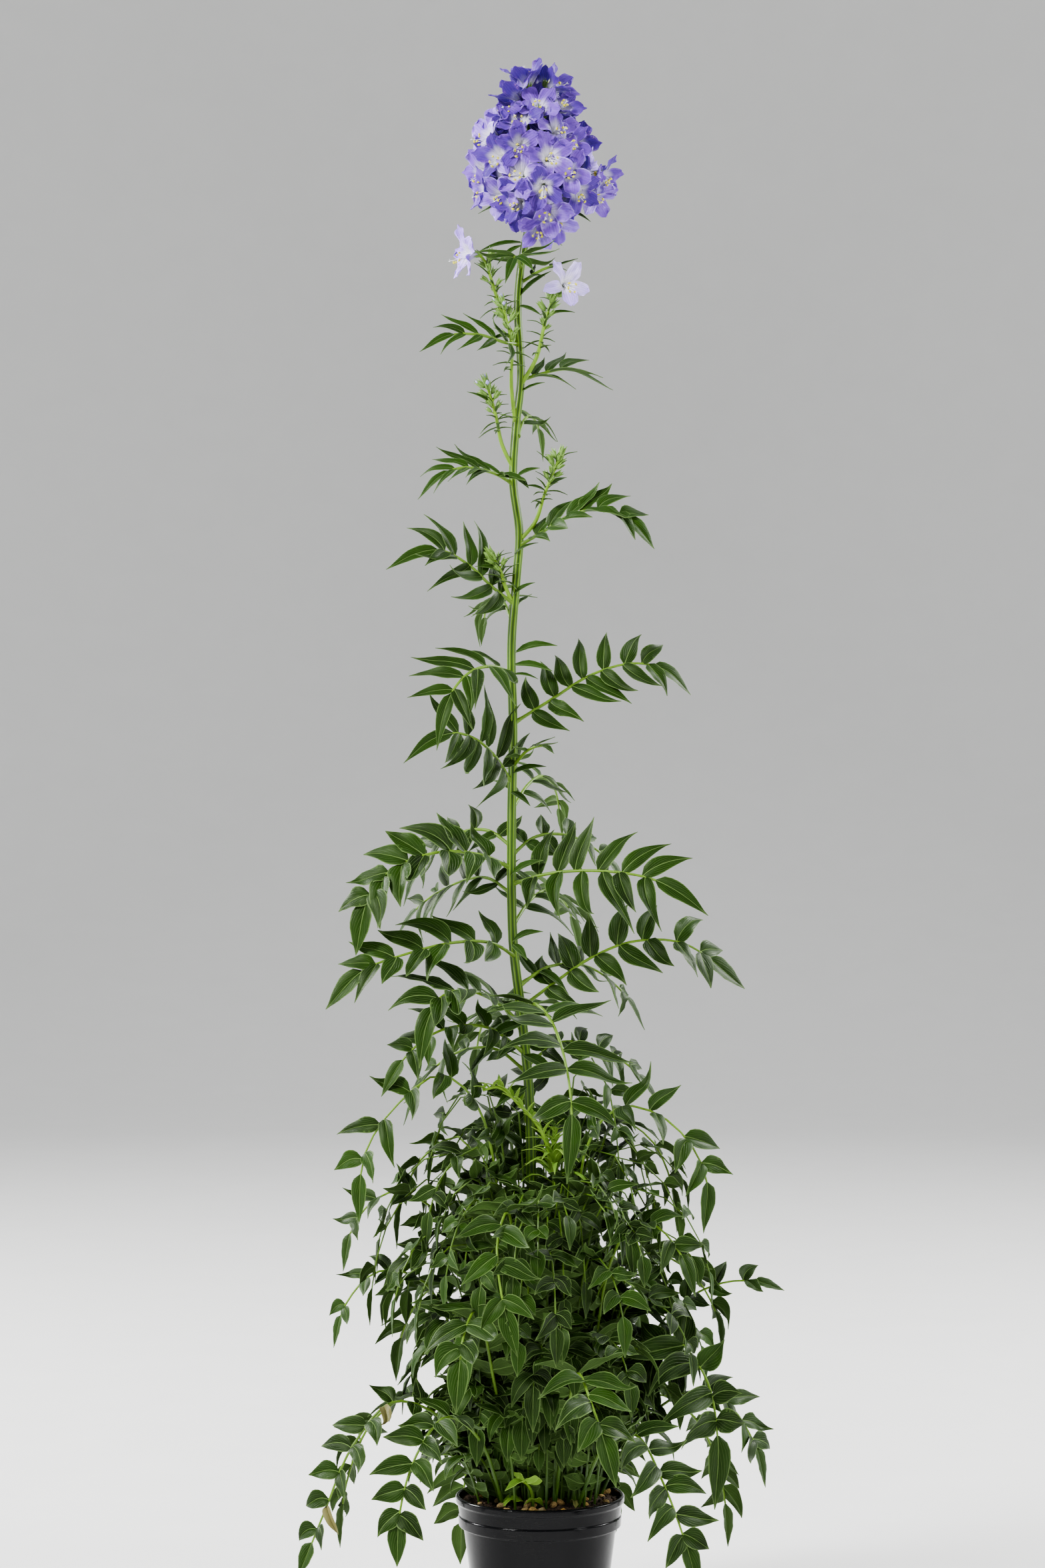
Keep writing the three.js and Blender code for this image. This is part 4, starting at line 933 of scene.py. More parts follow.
# Small foliage between the main fronds. The tall fronds fill the middle of the bush, and the low ones lean
# over the rim everywhere but at the front, where the soil shows.
SMALL_GROUPS = 8
TALL_HEIGHTS = (368, 150)
LOW_HEIGHTS = (170, 112)
FRONT_HEIGHTS = (230, 150)
LOWEST_HEIGHTS = (124, 150)
FRONT_GAP = 48
FRONT_FOOT = 114
LOWEST_FOOT = 110
FRONT_TOP = 285
SIDE_SPREAD = 0.45


def spiral(order):
    """A share that spreads things evenly, however many there are."""
    return order * GOLDEN_ANGLE / math.tau % 1


def tall_small_frond(order, share, rng):
    angle = math.degrees(order * GOLDEN_ANGLE) + rng.uniform(-8, 8)
    root = lerp(4, 36, share) + rng.uniform(-3, 3)
    height = lerp(*TALL_HEIGHTS, share ** 0.95) + rng.uniform(-16, 16)
    turn = math.radians(angle)
    height = lerp(height, min(height, FRONT_TOP), max(0.0, -math.sin(turn)))
    spread = lerp(26, 74, math.sin(math.pi * min(1, 0.12 + 0.78 * share)))
    spread *= rng.uniform(0.7, 1.05) * lerp(1 + SIDE_SPREAD * abs(math.cos(turn)), 1, share)
    points = arch(angle, root, height, root + spread, rng.uniform(0.14, 0.42) * (height - 70))
    leaflet = lerp(20, 24, share) * rng.uniform(0.85, 1.15)
    return Frond(7, leaflet, lerp(8, 11.5, share), rng.uniform(-40, 40), rng.uniform(0.26, 0.42), points)


def low_small_frond(order, share, rng):
    angle = lerp(FRONT_GAP - 90, 270 - FRONT_GAP, spiral(order)) + rng.uniform(-5, 5)
    root = rng.uniform(16, 42)
    height = lerp(*LOW_HEIGHTS, share) + rng.uniform(-8, 8)
    points = arch(angle, root, height, root + rng.uniform(26, 58), rng.uniform(0.1, 0.5) * (height - 78))
    return Frond(5, rng.uniform(19, 26), rng.uniform(10, 13), rng.uniform(-20, 20), 0.2, points)


def front_small_frond(order, share, rng):
    """A short frond that covers the feet of the stalks from the front."""
    angle = lerp(-100 - FRONT_GAP, FRONT_GAP - 80, spiral(order))
    height = lerp(*FRONT_HEIGHTS, share) + rng.uniform(-8, 8)
    root = lerp(6, 26, share)
    sizes = (rng.uniform(17, 24), rng.uniform(8.5, 12), rng.uniform(-35, 35), lerp(0.42, 0.3, share))
    reach = root + rng.uniform(28, 46)
    return Frond(5, *sizes, arch(angle, root, height, reach, (height - FRONT_FOOT) * rng.uniform(0.5, 1.0)))


def lowest_small_frond(order, share, rng):
    """A frond of small leaflets close over the soil at the front."""
    angle = lerp(-155, -25, spiral(order))
    root = rng.uniform(14, 30)
    height = rng.uniform(*LOWEST_HEIGHTS)
    sizes = (rng.uniform(12, 18), rng.uniform(6, 9), rng.uniform(-40, 40), 0.34)
    reach = root + rng.uniform(14, 26)
    return Frond(4, *sizes, arch(angle, root, height, reach, (height - LOWEST_FOOT) * rng.uniform(0.3, 1.0)))


# Kinds of small fronds: how each is laid out, how many a group has, their highest tone, how uneven they are
SMALL_KINDS = [
    (tall_small_frond, 15, 0.6, 0.35),
    (low_small_frond, 5, 0.4, 0.3),
    (front_small_frond, 4, 0.4, 0.3),
    (lowest_small_frond, 3, 0.6, 0.3),
]


def make_small_foliage():
    rng = random.Random("small foliage")
    for group in range(SMALL_GROUPS):
        skin = Skin()
        for layout, count, bright, uneven in SMALL_KINDS:
            for order in range(group, SMALL_GROUPS * count, SMALL_GROUPS):
                frond = layout(order, (order + 0.5) / (SMALL_GROUPS * count), rng)
                add_frond(skin, frond, rng, fine=False, tone=rng.uniform(0.05, bright), uneven=uneven)
        make_piece(f"small_fronds_{group + 1}", skin)


def make_young_leaf():
    """The small leaf that stands in the soil at the front."""
    rng = random.Random("young leaf")
    skin = Skin()
    points = all_seen([(-4, 84, -34), (-6, 101, -38), (-12, 106, -44), (-22, 100, -49)])
    add_frond(skin, Frond(1, 14, 11, 0, 0.5, points), rng, tone=0.6)
    make_piece("young_leaf_fine", skin, ["young_leaf"], young_materials)


# Leaves that lie on the soil: across, depth, way its tip points in degrees, length, width, tone and dryness
FALLEN_LEAVES = [
    (2, -33, 200, 13, 7, 0.8, 0),
    (-24, -30, 15, 15, 9, 0.9, 0),
    (22, -34, 110, 10, 5, 0.4, 1),
    (-34, 14, 60, 14, 6, 0.4, 1),
    (36, 18, 250, 13, 6, 0.5, 1),
]


def make_fallen_leaves():
    rng = random.Random("fallen leaves")
    skin = Skin()
    for across, depth, way, length, width, tone, dry in FALLEN_LEAVES:
        turn = math.radians(way)
        foot = MM * Vector((across, depth, 0))
        foot.z = soil_height(foot.x, foot.y) + 0.0012
        axis = polar(1, turn, 0.12).normalized()
        side = polar(1, turn + 0.5 * math.pi, 0.3).normalized()
        face = axis.cross(side).normalized()

        def spine(v):
            return foot + length * MM * (axis * v + face * (0.2 * math.sin(math.pi * v))), side, face

        shape = Shape(rise=0.55, fall=0.8, fold=0.5, wave=0.3 + 0.2 * dry, waves=1.6)
        blade(skin, spine, 0.5 * width * MM, shape, rng, (tone, 0, dry))
    make_piece("fallen_leaves", skin, materials=[young_leaf])


# Flowering stem, by points [across, height, depth]
HEAD_AXIS = -3
STEM_POINTS = [
    (-4, 80, 0), (-4, 160, 0), (-5, 241, 0), (-7, 351, 0), (-12, 402, 0), (-17, 446, 0), (-18, 515, 0),
    (-17, 579, 0), (-18, 632, 0), (-15, 673, 0), (-13, 703, 0), (-17, 736, 0), (-15, 772, 0), (-12, 801, 0),
    (-14, 846, 0), (-12, 871, 0), (-8, 892, 0), (HEAD_AXIS, 908, 0),
]

# Side stalks: points, number of buds, whether an open flower ends it, and how violet its buds are
SIDE_STALKS = [
    ([(-15, 823, 0), (-24, 842, -4), (-31, 864, -6), (-34.5, 874, -6.5), (-38.6, 878.4, -7.4)], 7, True, 0.5),
    ([(-15, 768, 0), (-18, 795, -5), (-18, 822, -7), (-23, 846, -8)], 12, False, 0.9),
    ([(-12, 796, 0), (-2, 814, -5), (3, 835, -8), (8, 850, -7), (14.8, 857.4, -5.1)], 9, True, 0.3),
    ([(-16, 742, 0), (-24, 759, -4), (-28, 778, -7), (-33, 795, -8)], 10, False, 0.8),
    ([(-13, 698, 0), (-3, 710, -4), (3, 728, -6), (12, 750, -7)], 12, False, 0.3),
    ([(-17, 658, 0), (-22, 670, -5), (-25, 680, -8), (-29, 687, -9)], 8, False, 0.3),
]

# Narrow leaves along the top of each stalk and below its buds: how many, how far down they begin, the step
# between them, then ranges of their length, rise and width, and their tone
STALK_LEAVES = [
    (14, 0.0, 0.03, (0.006, 0.012), (0.1, 1.0), (0.0013, 0.0022), 0.75),
    (8, 0.38, 0.02, (0.008, 0.015), (-0.6, 0.3), (0.0018, 0.0028), 0.5),
]

# Narrow bract leaves on the stem and its stalks: foot, tip and width
BRACTS = [
    ((-12, 886, -1), (-39, 880, -6), 5), ((-12, 884, -2), (-27, 872, -9), 4),
    ((-14, 912, 4), (-39, 904, 4), 3.5), ((18, 906, -4), (32, 899, -8), 3),
    ((-6, 893, -2), (14, 884, -8), 4), ((-13, 852, 0), (7, 868, -9), 6.5),
    ((-14, 846, 0), (1, 840, -12), 4), ((4, 840, -8), (22, 842, -12), 4), ((-12, 792, 0), (3, 798, -9), 4),
    ((-29, 782, -7), (-46, 792, -14), 4), ((-18, 828, -7), (-34, 822, -12), 4),
    ((3, 730, -6), (-9, 733, -14), 4), ((5, 733, -6), (17, 738, 2), 4),
    ((-25, 680, -8), (-41, 682, -12), 4), ((-15, 738, -3), (0, 744, -10), 6),
    ((-15, 738, -3), (-7, 731, -14), 5), ((-16, 690, -2), (-1, 697, -6), 3),
    ((-17, 664, -2), (-3, 672, -6), 4.5), ((-26, 739, -8), (-9, 736, -18), 8),
    ((-15, 628, -2), (11, 632, -8), 8), ((-16, 620, -4), (8, 616, -14), 7),
    ((-17, 614, -2), (-1, 611, -8), 3), ((-17, 552, -2), (4, 556, -8), 6),
    ((-18, 540, -2), (-6, 531, -10), 5), ((-18, 488, -2), (2, 497, -12), 8),
    ((-17, 446, -3), (2, 452, -10), 7), ((-17, 444, -3), (-8, 434, -14), 6),
    ((-12, 402, -3), (8, 398, -16), 8), ((-12, 394, -3), (-33, 384, -14), 9),
    ((-10, 374, -3), (10, 362, -16), 9), ((-9, 354, -3), (-28, 341, -16), 9),
    ((-8, 340, -3), (12, 328, -16), 8),
]
BRACT_FACING = Vector((0, -0.6, 0.8))
NARROW = Shape(rise=0.6, fall=1.1, foot=0.3, fold=0.35, bulge=0.08, wave=0.03, rows=6, columns=4, keel=0.0002)


def add_narrow_leaf(skin, foot, tip, width, rng, tone=0.7, facing=UP, sag=0.14):
    """A narrow leaf from its foot to its tip, bowed towards the way it faces."""
    axis = tip - foot
    length = axis.length
    axis.normalize()
    across = axis.cross(facing).normalized()
    face = across.cross(axis)
    bow = rng.uniform(0.5, 1.3) * sag * length

    def spine(v):
        return foot + axis * (length * v) + face * (bow * math.sin(math.pi * v) * 0.6), across, face

    blade(skin, spine, 0.5 * width, NARROW, rng, (tone, 0, 0))


def add_cup(skin, foot, axis, rows, lean, notch, inside, tone):
    """A closed cup with ten ribs, every other one drawn out to a tooth.

    Each row is its height, its radius, how far its teeth are drawn out and its share of the way up. lean is
    how much a tooth leans out, notch how deep the edge dips between, and inside the height of its floor.
    """
    aside, over = sideways(axis)
    mark = (tone, 0, 0)
    point = skin.vertex(foot, (0, 0, 0), mark)
    before = None
    for height, radius, tooth, level in rows:
        row = []
        for number, turn in enumerate(turns(10)):
            drawn, ridge = (-notch * tooth, -1) if number % 2 else (tooth, 1)
            place = foot + axis * (height + drawn) + turned(aside, over, turn) * (radius + lean * drawn)
            row.append(skin.vertex(place, (ridge, level, 0), mark))
        if before:
            skin.strip(before, row, BUD)
        else:
            skin.fan(row[::-1], point, BUD)
        before = row
    skin.fan(before, skin.vertex(foot + axis * inside, (0, 0.5, 0), mark), BUD)


# Rows of a bud's calyx: height, radius and teeth, as shares of its length and radius
BUD_ROWS = ((0.14, 0.6, 0), (0.36, 1.0, 0), (0.54, 0.9, 0.4))


def add_bud(skin, foot, direction, scale, violet, rng):
    """A ribbed calyx with five teeth, and the bud that stands out of it."""
    axis = direction.normalized()
    radius = BUD_RADIUS * scale
    length = BUD_LENGTH * scale
    rows = [(length * level, radius * width, length * tooth, level) for level, width, tooth in BUD_ROWS]
    add_cup(skin, foot, axis, rows, 0.5 * radius / length, 0.25, 0.5 * length, 0.25 + 0.2 * rng.random())
    bud_length = length * rng.uniform(0.4, 0.55) * (1.35 if violet > 0.5 else 1)
    ball(skin, foot + axis * (0.32 * length), axis, radius * 0.72, bud_length, BUD, tone=violet)


def make_flower_stem():
    rng = random.Random("flower stem")
    skin = Skin()
    stem = Curve(all_seen(STEM_POINTS))
    # The stem's tone runs from 0.25 at its foot to 0.85 at its top, painted shade low down and painted light
    # high up.
    tube(skin, stem, STEM_RADII, 28, 150, tone=0.25, tip_painted_light=0.85, ridges=7, depth=0.09)
    for points, buds, flower, violet in SIDE_STALKS:
        stalk = Curve(all_seen(points))
        tube(skin, stalk, STALK_RADII, 8, 20)
        top = FLOWER_STALK_TOP if flower else 1.0
        for number in range(buds):
            share = top - BUD_SPAN * number / buds
            lean = 0.0 if number == 0 and not flower else rng.uniform(0.7, 1.3)
            direction = stalk.along(share) + lean * polar(1, number * GOLDEN_ANGLE)
            foot = stalk.at(share)
            neck = direction.normalized() * (BUD_NECK * lean)
            if lean:
                tube(skin, Curve([foot, foot + 0.5 * neck, foot + neck]), NECK_RADII, 6, 2)
            size = lerp(*BUD_SIZES, number / buds) * rng.uniform(0.85, 1.15)
            add_bud(skin, foot + neck, direction, size, violet if number < TIP_BUDS else LOWER_BUD_TONE, rng)
        for count, start, step, lengths, rises, widths, tone in STALK_LEAVES:
            for number in range(count):
                foot = stalk.at(top - start - step * number)
                turn = number * GOLDEN_ANGLE + rng.uniform(-0.3, 0.3)
                tip = foot + rng.uniform(*lengths) * polar(1, turn, rng.uniform(*rises))
                add_narrow_leaf(skin, foot, tip, rng.uniform(*widths), rng, tone)
    for foot, tip, width in BRACTS:
        add_narrow_leaf(skin, seen(foot), seen(tip), width * MM, rng, facing=BRACT_FACING)
    make_piece("flower_stem_fine", skin, ["flower_stem"])


# Second, shorter shoot with a rosette of narrow leaves at its tip
SHOOT_POINTS = [(7, 80, -6), (9, 160, -8), (10, 240, -10), (9, 322, -10)]
SHOOT_BRANCH = [(9, 306, -10), (0, 328, -14), (-12, 342, -16), (-26, 354, -18), (-36, 352, -18)]
ROSETTE_LEAVES = 40
ROSETTE_HEIGHT = 0.03
ROSETTE_LENGTHS = (0.012, 0.030)
ROSETTE_WIDTHS = (0.002, 0.005)
BRANCH_LEAVES = 30
BRANCH_LEAF_LENGTHS = (0.007, 0.014)
BRANCH_LEAF_WIDTH = 0.0026


def make_leafy_shoot():
    rng = random.Random("leafy shoot")
    skin = Skin()
    shoot = Curve(all_seen(SHOOT_POINTS))
    tube(skin, shoot, SHOOT_RADII, 14, 40, tone=0.7, ridges=5, depth=0.06)
    for leaf in range(ROSETTE_LEAVES):
        share = leaf / ROSETTE_LEAVES
        way = polar(1, leaf * GOLDEN_ANGLE, lerp(1.8, -0.2, share) + rng.uniform(-0.3, 0.3)).normalized()
        foot = shoot.at(1) - UP * (ROSETTE_HEIGHT * share)
        tip = foot + way * (lerp(*ROSETTE_LENGTHS, share) * rng.uniform(0.8, 1.2))
        add_narrow_leaf(skin, foot, tip, lerp(*ROSETTE_WIDTHS, share), rng, rng.uniform(0.3, 0.9), sag=0.5)
    branch = Curve(all_seen(SHOOT_BRANCH))
    tube(skin, branch, BRANCH_RADII, 8, 24)
    for leaf in range(BRANCH_LEAVES):
        share = lerp(0.12, 1.0, leaf / (BRANCH_LEAVES - 1))
        way = polar(1, leaf * GOLDEN_ANGLE, 0.5) + branch.along(share) * 0.6
        foot = branch.at(share)
        tip = foot + way.normalized() * rng.uniform(*BRANCH_LEAF_LENGTHS)
        add_narrow_leaf(skin, foot, tip, BRANCH_LEAF_WIDTH, rng, 0.6)
    make_piece("leafy_shoot_fine", skin, ["leafy_shoot"], young_materials)


# Flowers, with lengths in metres but for the heights
BLOOMS_LEVEL_HEIGHT = 932
BLOOM_RISE = 0.5
FACE_OUT = 0.35
BLOOM_RADIUS = 0.0145
PETALS = 5
PETAL_SHAPE = Shape(rise=0.92, fall=0.46, foot=0.2, end=0.24, fold=0.02, bulge=-0.16, wave=0.28, waves=1.5,
                    keel=0, crowd=1.45, rows=11)
PETAL_HALF_WIDTH = 0.32
SIDE_PETAL_HALF_WIDTH = 0.27
PETAL_RAGGED = 0.12
THROAT_RADIUS = 0.0009
THROAT_DEPTH = 0.42
PETAL_SPREADS = (-12, -4, 0, 5, 10)
STAMENS = 5
STAMEN_LENGTH = 0.78
STAMEN_RISE = 0.0006
TUBE_LENGTH = 0.0034
CALYX_SINK = 0.0012
CALYX_ROWS = [(0.0012, 0.0011, 0, 0), (0.0034, 0.0020, 0, 0.22), (0.0054, 0.0023, 0.0028, 0.42)]
CALYX_LEAN = 0.35
CALYX_NOTCH = 2 / 7
CALYX_FLOOR = 0.0032
CALYX_TONE = 0.2
STAMEN_STEPS = ((0, 0, 0), (0.4, 0.12, 0.04), (0.76, 0.24, 0.24), (1, 0.3, 0.3))
ANTHER_RADIUS = 0.00078
ANTHER_LENGTH = 0.0026
LOBE_RADIUS = 0.00018
LOBE_LENGTH = 0.0014
FRONT_BLOOM_SIZE = 1.16
REAR_BLOOM_SIZE = 1.02
AXIS_UNEVEN = 0.38
INNER_BLOOMS_IN_PAINTED_SHADE = 16
INNER_BUDS = 10
BACKBONE_FOOT = 905
BACKBONE_POINTS = [(HEAD_AXIS, BACKBONE_FOOT, 0), (HEAD_AXIS + 1, 940, 0), (HEAD_AXIS, 985, 0)]

# Blooms that face the front, by how they show: across, height, size, tone and opening in degrees
FRONT_BLOOMS = [
    (-8, 988, 0.9, 0.95, 48), (9, 984, 0.85, 0.9, 55), (-14, 978, 0.9, 0.9, 50), (-19, 967, 0.85, 0.75, 66),
    (-1, 971, 1.0, 0.5, 74), (-12, 961, 0.95, 0.85, 60), (-33, 953, 1.15, 0.2, 80),
    (13, 971, 0.85, 0.8, 62), (11, 957, 1.0, 0.4, 76), (-13, 947, 0.95, 0.75, 64), (18, 948, 0.85, 0.8, 60),
    (6, 940, 1.05, 0.45, 78), (-13, 930, 1.08, 0.3, 82), (-37, 931, 0.95, 0.45, 76),
    (18, 930, 0.95, 0.5, 74), (30, 931, 0.95, 0.25, 72), (40, 928, 0.85, 0.8, 62), (-34, 919, 0.9, 0.6, 66),
    (-25, 916, 0.9, 0.3, 70), (-14, 912, 0.95, 0.9, 58), (4, 906, 1.15, 0.45, 84), (24, 918, 0.85, 0.8, 66),
    (34, 916, 0.9, 0.35, 70), (-1, 895, 0.9, 0.35, 74), (10, 899, 0.9, 0.3, 80), (-26, 940, 0.9, 0.85, 62),
    (2, 921, 0.9, 0.85, 62),
]

# Rows of blooms behind: height, and angles round the head from +X towards the back in degrees
REAR_BLOOMS = [
    (985, [60, 130]),
    (969, [20, 65, 110, 155]),
    (948, [10, 48, 86, 124, 166]),
    (926, [12, 50, 90, 128, 168]),
    (906, [50, 90, 125]),
]

# Distance of the bloom centres from the axis of the head, in millimetres, by height
HEAD_RADII = [(890, 18), (905, 26), (920, 34), (940, 33), (960, 23), (980, 12), (994, 4)]


def head_radius(height):
    for low, high in zip(HEAD_RADII, HEAD_RADII[1:]):
        if height <= high[0]:
            return lerp(low[1], high[1], max(0, (height - low[0]) / (high[0] - low[0])))
    return HEAD_RADII[-1][1]


def head_place(turn, height, share=1.0):
    """A place round the axis of the head, at a share of its radius there."""
    radius = share * head_radius(height)
    return seen((HEAD_AXIS + radius * math.cos(turn), height, radius * math.sin(turn)))


def petal_profile(open_angle, steps=16):
    """Distance out, rise and slope from the flower's axis at points along a petal of unit length."""
    profile = []
    out = rise = 0.0
    for step in range(steps + 1):
        slope = math.radians(lerp(16, open_angle, smooth(0, 0.62, step / steps)))
        profile.append((out / steps, rise / steps, slope))
        out += math.sin(slope)
        rise += math.cos(slope)
    return profile


def add_petal(skin, throat, axis, radial, length, half_width, profile, tone, rng):
    tangent = axis.cross(radial)
    twist = 0.22 + rng.uniform(-0.1, 0.1)
    last = len(profile) - 1
    ragged = [rng.uniform(0.0, PETAL_RAGGED) for _ in range(5)]
    outward = turned(axis, radial, profile[-1][2])

    def spine(v):
        before = min(last - 1, int(min(v, 1) * last))
        rest = min(v, 1) * last - before
        out, rise, slope = (lerp(a, b, rest) for a, b in zip(profile[before], profile[before + 1]))
        middle = throat + radial * (THROAT_RADIUS + out * length) + axis * (rise * length)
        face = turned(-radial, axis, slope)
        return middle, turned(tangent, face, twist), turned(face, -tangent, twist)

    def notch(aside, along):
        return outward * (-(0.10 * aside * aside + ragged[round(2 + 2 * aside)]) * along ** 5 * length)

    blade(skin, spine, half_width, PETAL_SHAPE, rng, (tone, 0, 0), PETAL, notch)


def add_stamens(skin, throat, axis, length, rng):
    """Five white filaments with yellow anthers, and a longer style with a forked tip."""
    aside, over = sideways(axis)
    down = axis * axis.z - UP
    for number in range(STAMENS + 1):
        turn = math.tau * number / STAMENS + 0.4
        style = number == STAMENS
        reach = length * (1.2 if style else rng.uniform(0.8, 1.05))
        spread = (0 if style else length) * rng.uniform(0.5, 1.0) * turned(aside, over, turn)
        sink = down * (reach * rng.uniform(0.8, 1.2))
        places = [throat + axis * (reach * a) + spread * b + sink * c for a, b, c in STAMEN_STEPS]
        curve = Curve(places, steps=4)
        tube(skin, curve, FILAMENT_RADII, 4, 6, FILAMENT)
        tip = curve.at(1)
        if style:
            for turn in turns(3):
                way = axis + 1.2 * turned(aside, over, turn)
                ball(skin, tip, way, LOBE_RADIUS, LOBE_LENGTH, FILAMENT, sides=4, rings=3)
        else:
            way = turned(-over, aside, turn) + 0.4 * axis
            foot = tip - way.normalized() * (0.5 * ANTHER_LENGTH)
            ball(skin, foot, way, ANTHER_RADIUS, ANTHER_LENGTH, ANTHER, sides=6, rings=4)


def add_bloom(skin, centre, axis, radius, turn, tone, open_angle, rng, half_width=PETAL_HALF_WIDTH,
              stamens=True):
    """A five-petalled flower by the middle of its open face, with stamens and calyx. Gives its foot."""
    axis = axis.normalized()
    side = UP.cross(axis)
    if side.length < 0.1:
        side = Vector((1, 0, 0))
    side.normalize()
    over = axis.cross(side)
    profiles = [petal_profile(open_angle + change) for change in PETAL_SPREADS]
    length = radius / max(0.62, profiles[2][-1][0])
    throat = centre - axis * (THROAT_DEPTH * radius)
    for number in range(PETALS):
        radial = turned(side, over, turn + math.tau * number / PETALS + rng.uniform(-0.08, 0.08))
        reach = length * rng.uniform(0.93, 1.05)
        broad = half_width * radius * rng.uniform(0.9, 1.1)
        profile = rng.choice(profiles)
        add_petal(skin, throat, axis, radial, reach, broad, profile, tone + rng.uniform(-0.15, 0.15), rng)
    if stamens:
        add_stamens(skin, throat + axis * STAMEN_RISE, axis, STAMEN_LENGTH * radius, rng)
    foot = throat - axis * (TUBE_LENGTH + CALYX_SINK)
    add_cup(skin, foot, axis, CALYX_ROWS, CALYX_LEAN, CALYX_NOTCH, CALYX_FLOOR, CALYX_TONE)
    return foot


def bloom_axis(centre, height, rng):
    """The way a bloom of the head faces."""
    outward = Vector((centre.x - HEAD_AXIS * MM, centre.y, MM * BLOOM_RISE * (height - BLOOMS_LEVEL_HEIGHT)))
    outward.normalize()
    outward += FACE_OUT * Vector((0, math.copysign(1, centre.y), 0))
    return (outward + AXIS_UNEVEN * Vector([rng.uniform(-1, 1) for _ in range(3)])).normalized()


def make_flower_head():
    rng = random.Random("flower head")
    skin = Skin()
    backbone = Curve(all_seen(BACKBONE_POINTS))
    tube(skin, backbone, BACKBONE_RADII, 12, 20, ridges=4, depth=0.05)
    blooms = []
    for across, height, size, tone, open_angle in FRONT_BLOOMS:
        depth = -math.sqrt(max(36.0, head_radius(height) ** 2 - (across - HEAD_AXIS) ** 2))
        blooms.append((seen((across, height, depth)), height, size * FRONT_BLOOM_SIZE, tone, open_angle))
    for height, angles in REAR_BLOOMS:
        for angle in angles:
            size = REAR_BLOOM_SIZE * rng.uniform(0.92, 1.08)
            centre = head_place(math.radians(angle), height)
            blooms.append((centre, height, size, rng.uniform(0.3, 0.8), rng.uniform(68, 84)))
    for centre, height, size, tone, open_angle in blooms:
        axis = bloom_axis(centre, height, rng)
        foot = add_bloom(skin, centre, axis, BLOOM_RADIUS * size, rng.uniform(0, 1.25), tone, open_angle, rng)
        root = backbone.at(min(1, max(0.0, (height - 20 - BACKBONE_FOOT) / 80)))
        tube(skin, Curve([root, root.lerp(foot, 0.6) - axis * 0.002, foot], steps=6), PEDICEL_RADII, 6, 6)
    # These half-open blooms fill the gaps deeper in the head, and their deep violet tone of 0.95 is painted
    # shade for the shadow between the outer blooms.
    for number in range(INNER_BLOOMS_IN_PAINTED_SHADE):
        height = lerp(908, 974, (number + 0.5) / INNER_BLOOMS_IN_PAINTED_SHADE)
        centre = head_place(number * GOLDEN_ANGLE, height, 0.6)
        axis = bloom_axis(centre, height, rng)
        add_bloom(skin, centre, axis, BLOOM_RADIUS, rng.uniform(0, 1.25), 0.95, 62, rng, stamens=False)
    for number in range(INNER_BUDS):
        height = lerp(960, 986, (number + 0.5) / INNER_BUDS)
        foot = head_place(number * GOLDEN_ANGLE, height, 0.5)
        root = backbone.at(min(1, max(0.0, (height - 16 - BACKBONE_FOOT) / 80)))
        tube(skin, Curve([root, root.lerp(foot, 0.5), foot], steps=4), PEDICEL_RADII, 6, 3)
        add_bud(skin, foot, foot - root, rng.uniform(0.9, 1.3), rng.uniform(0.3, 1.0), rng)
    make_piece("flower_head_fine", skin, ["flower_head"])


# Single flowers at the ends of two side stalks: centre, way they face, size, turn, tone, opening and stalk
SIDE_BLOOMS = [
    ("side_bloom_left", (-47, 879, -10), (-1, -0.45, 0), 1.3, 0.31, 0.22, 84, 0),
    ("side_bloom_right", (17, 860, -14), (0.4, -1, 0.1), 1.15, 0.98, -0.13, 84, 2),
]


def make_side_blooms():
    for name, centre, direction, size, turn, tone, open_angle, stalk in SIDE_BLOOMS:
        rng = random.Random(name)
        skin = Skin()
        radius = BLOOM_RADIUS * size
        foot = add_bloom(skin, seen(centre), Vector(direction), radius, turn, tone, open_angle, rng,
                         SIDE_PETAL_HALF_WIDTH)
        root = seen(SIDE_STALKS[stalk][0][-1])
        tube(skin, Curve([root, root.lerp(foot, 0.5), foot], steps=4), SIDE_PEDICEL_RADII, 8, 4)
        make_piece(f"{name}_fine", skin, [name])


# Pot and soil


def turned_piece(name, profile, material):
    """A closed round body from the profile of one side: radius and height, from foot to top and back."""
    build = bmesh.new()
    rings = []
    for radius, height in profile:
        sides = ROUND_SIDES if radius else 1
        rings.append([build.verts.new(polar(radius, turn, height)) for turn in turns(sides)])
    for before, after in zip(rings, rings[1:]):
        for side in range(ROUND_SIDES):
            around = ((before, side), (before, side + 1), (after, side + 1), (after, side))
            corners = [ring[place % len(ring)] for ring, place in around]
            build.faces.new(list(dict.fromkeys(corners)))
    bmesh.ops.recalc_face_normals(build, faces=build.faces)
    mesh = bpy.data.meshes.new(name)
    build.to_mesh(mesh)
    build.free()
    mesh.materials.append(material)
    smooth_shading(mesh, 35)
    return new_object(name, mesh)


def rounded(corners, radius, steps=3):
    """The same profile with a small arc at each corner between its two ends."""
    points = [Vector(corner) for corner in corners]
    smoothed = [points[0]]
    for before, corner, after in zip(points, points[1:], points[2:]):
        reach = min(radius, 0.45 * (before - corner).length, 0.45 * (after - corner).length)
        start = corner + (before - corner).normalized() * reach
        end = corner + (after - corner).normalized() * reach
        for step in range(steps + 1):
            share = step / steps
            smoothed.append(start.lerp(corner, share).lerp(corner.lerp(end, share), share))
    return [tuple(point) for point in (*smoothed, points[-1])]


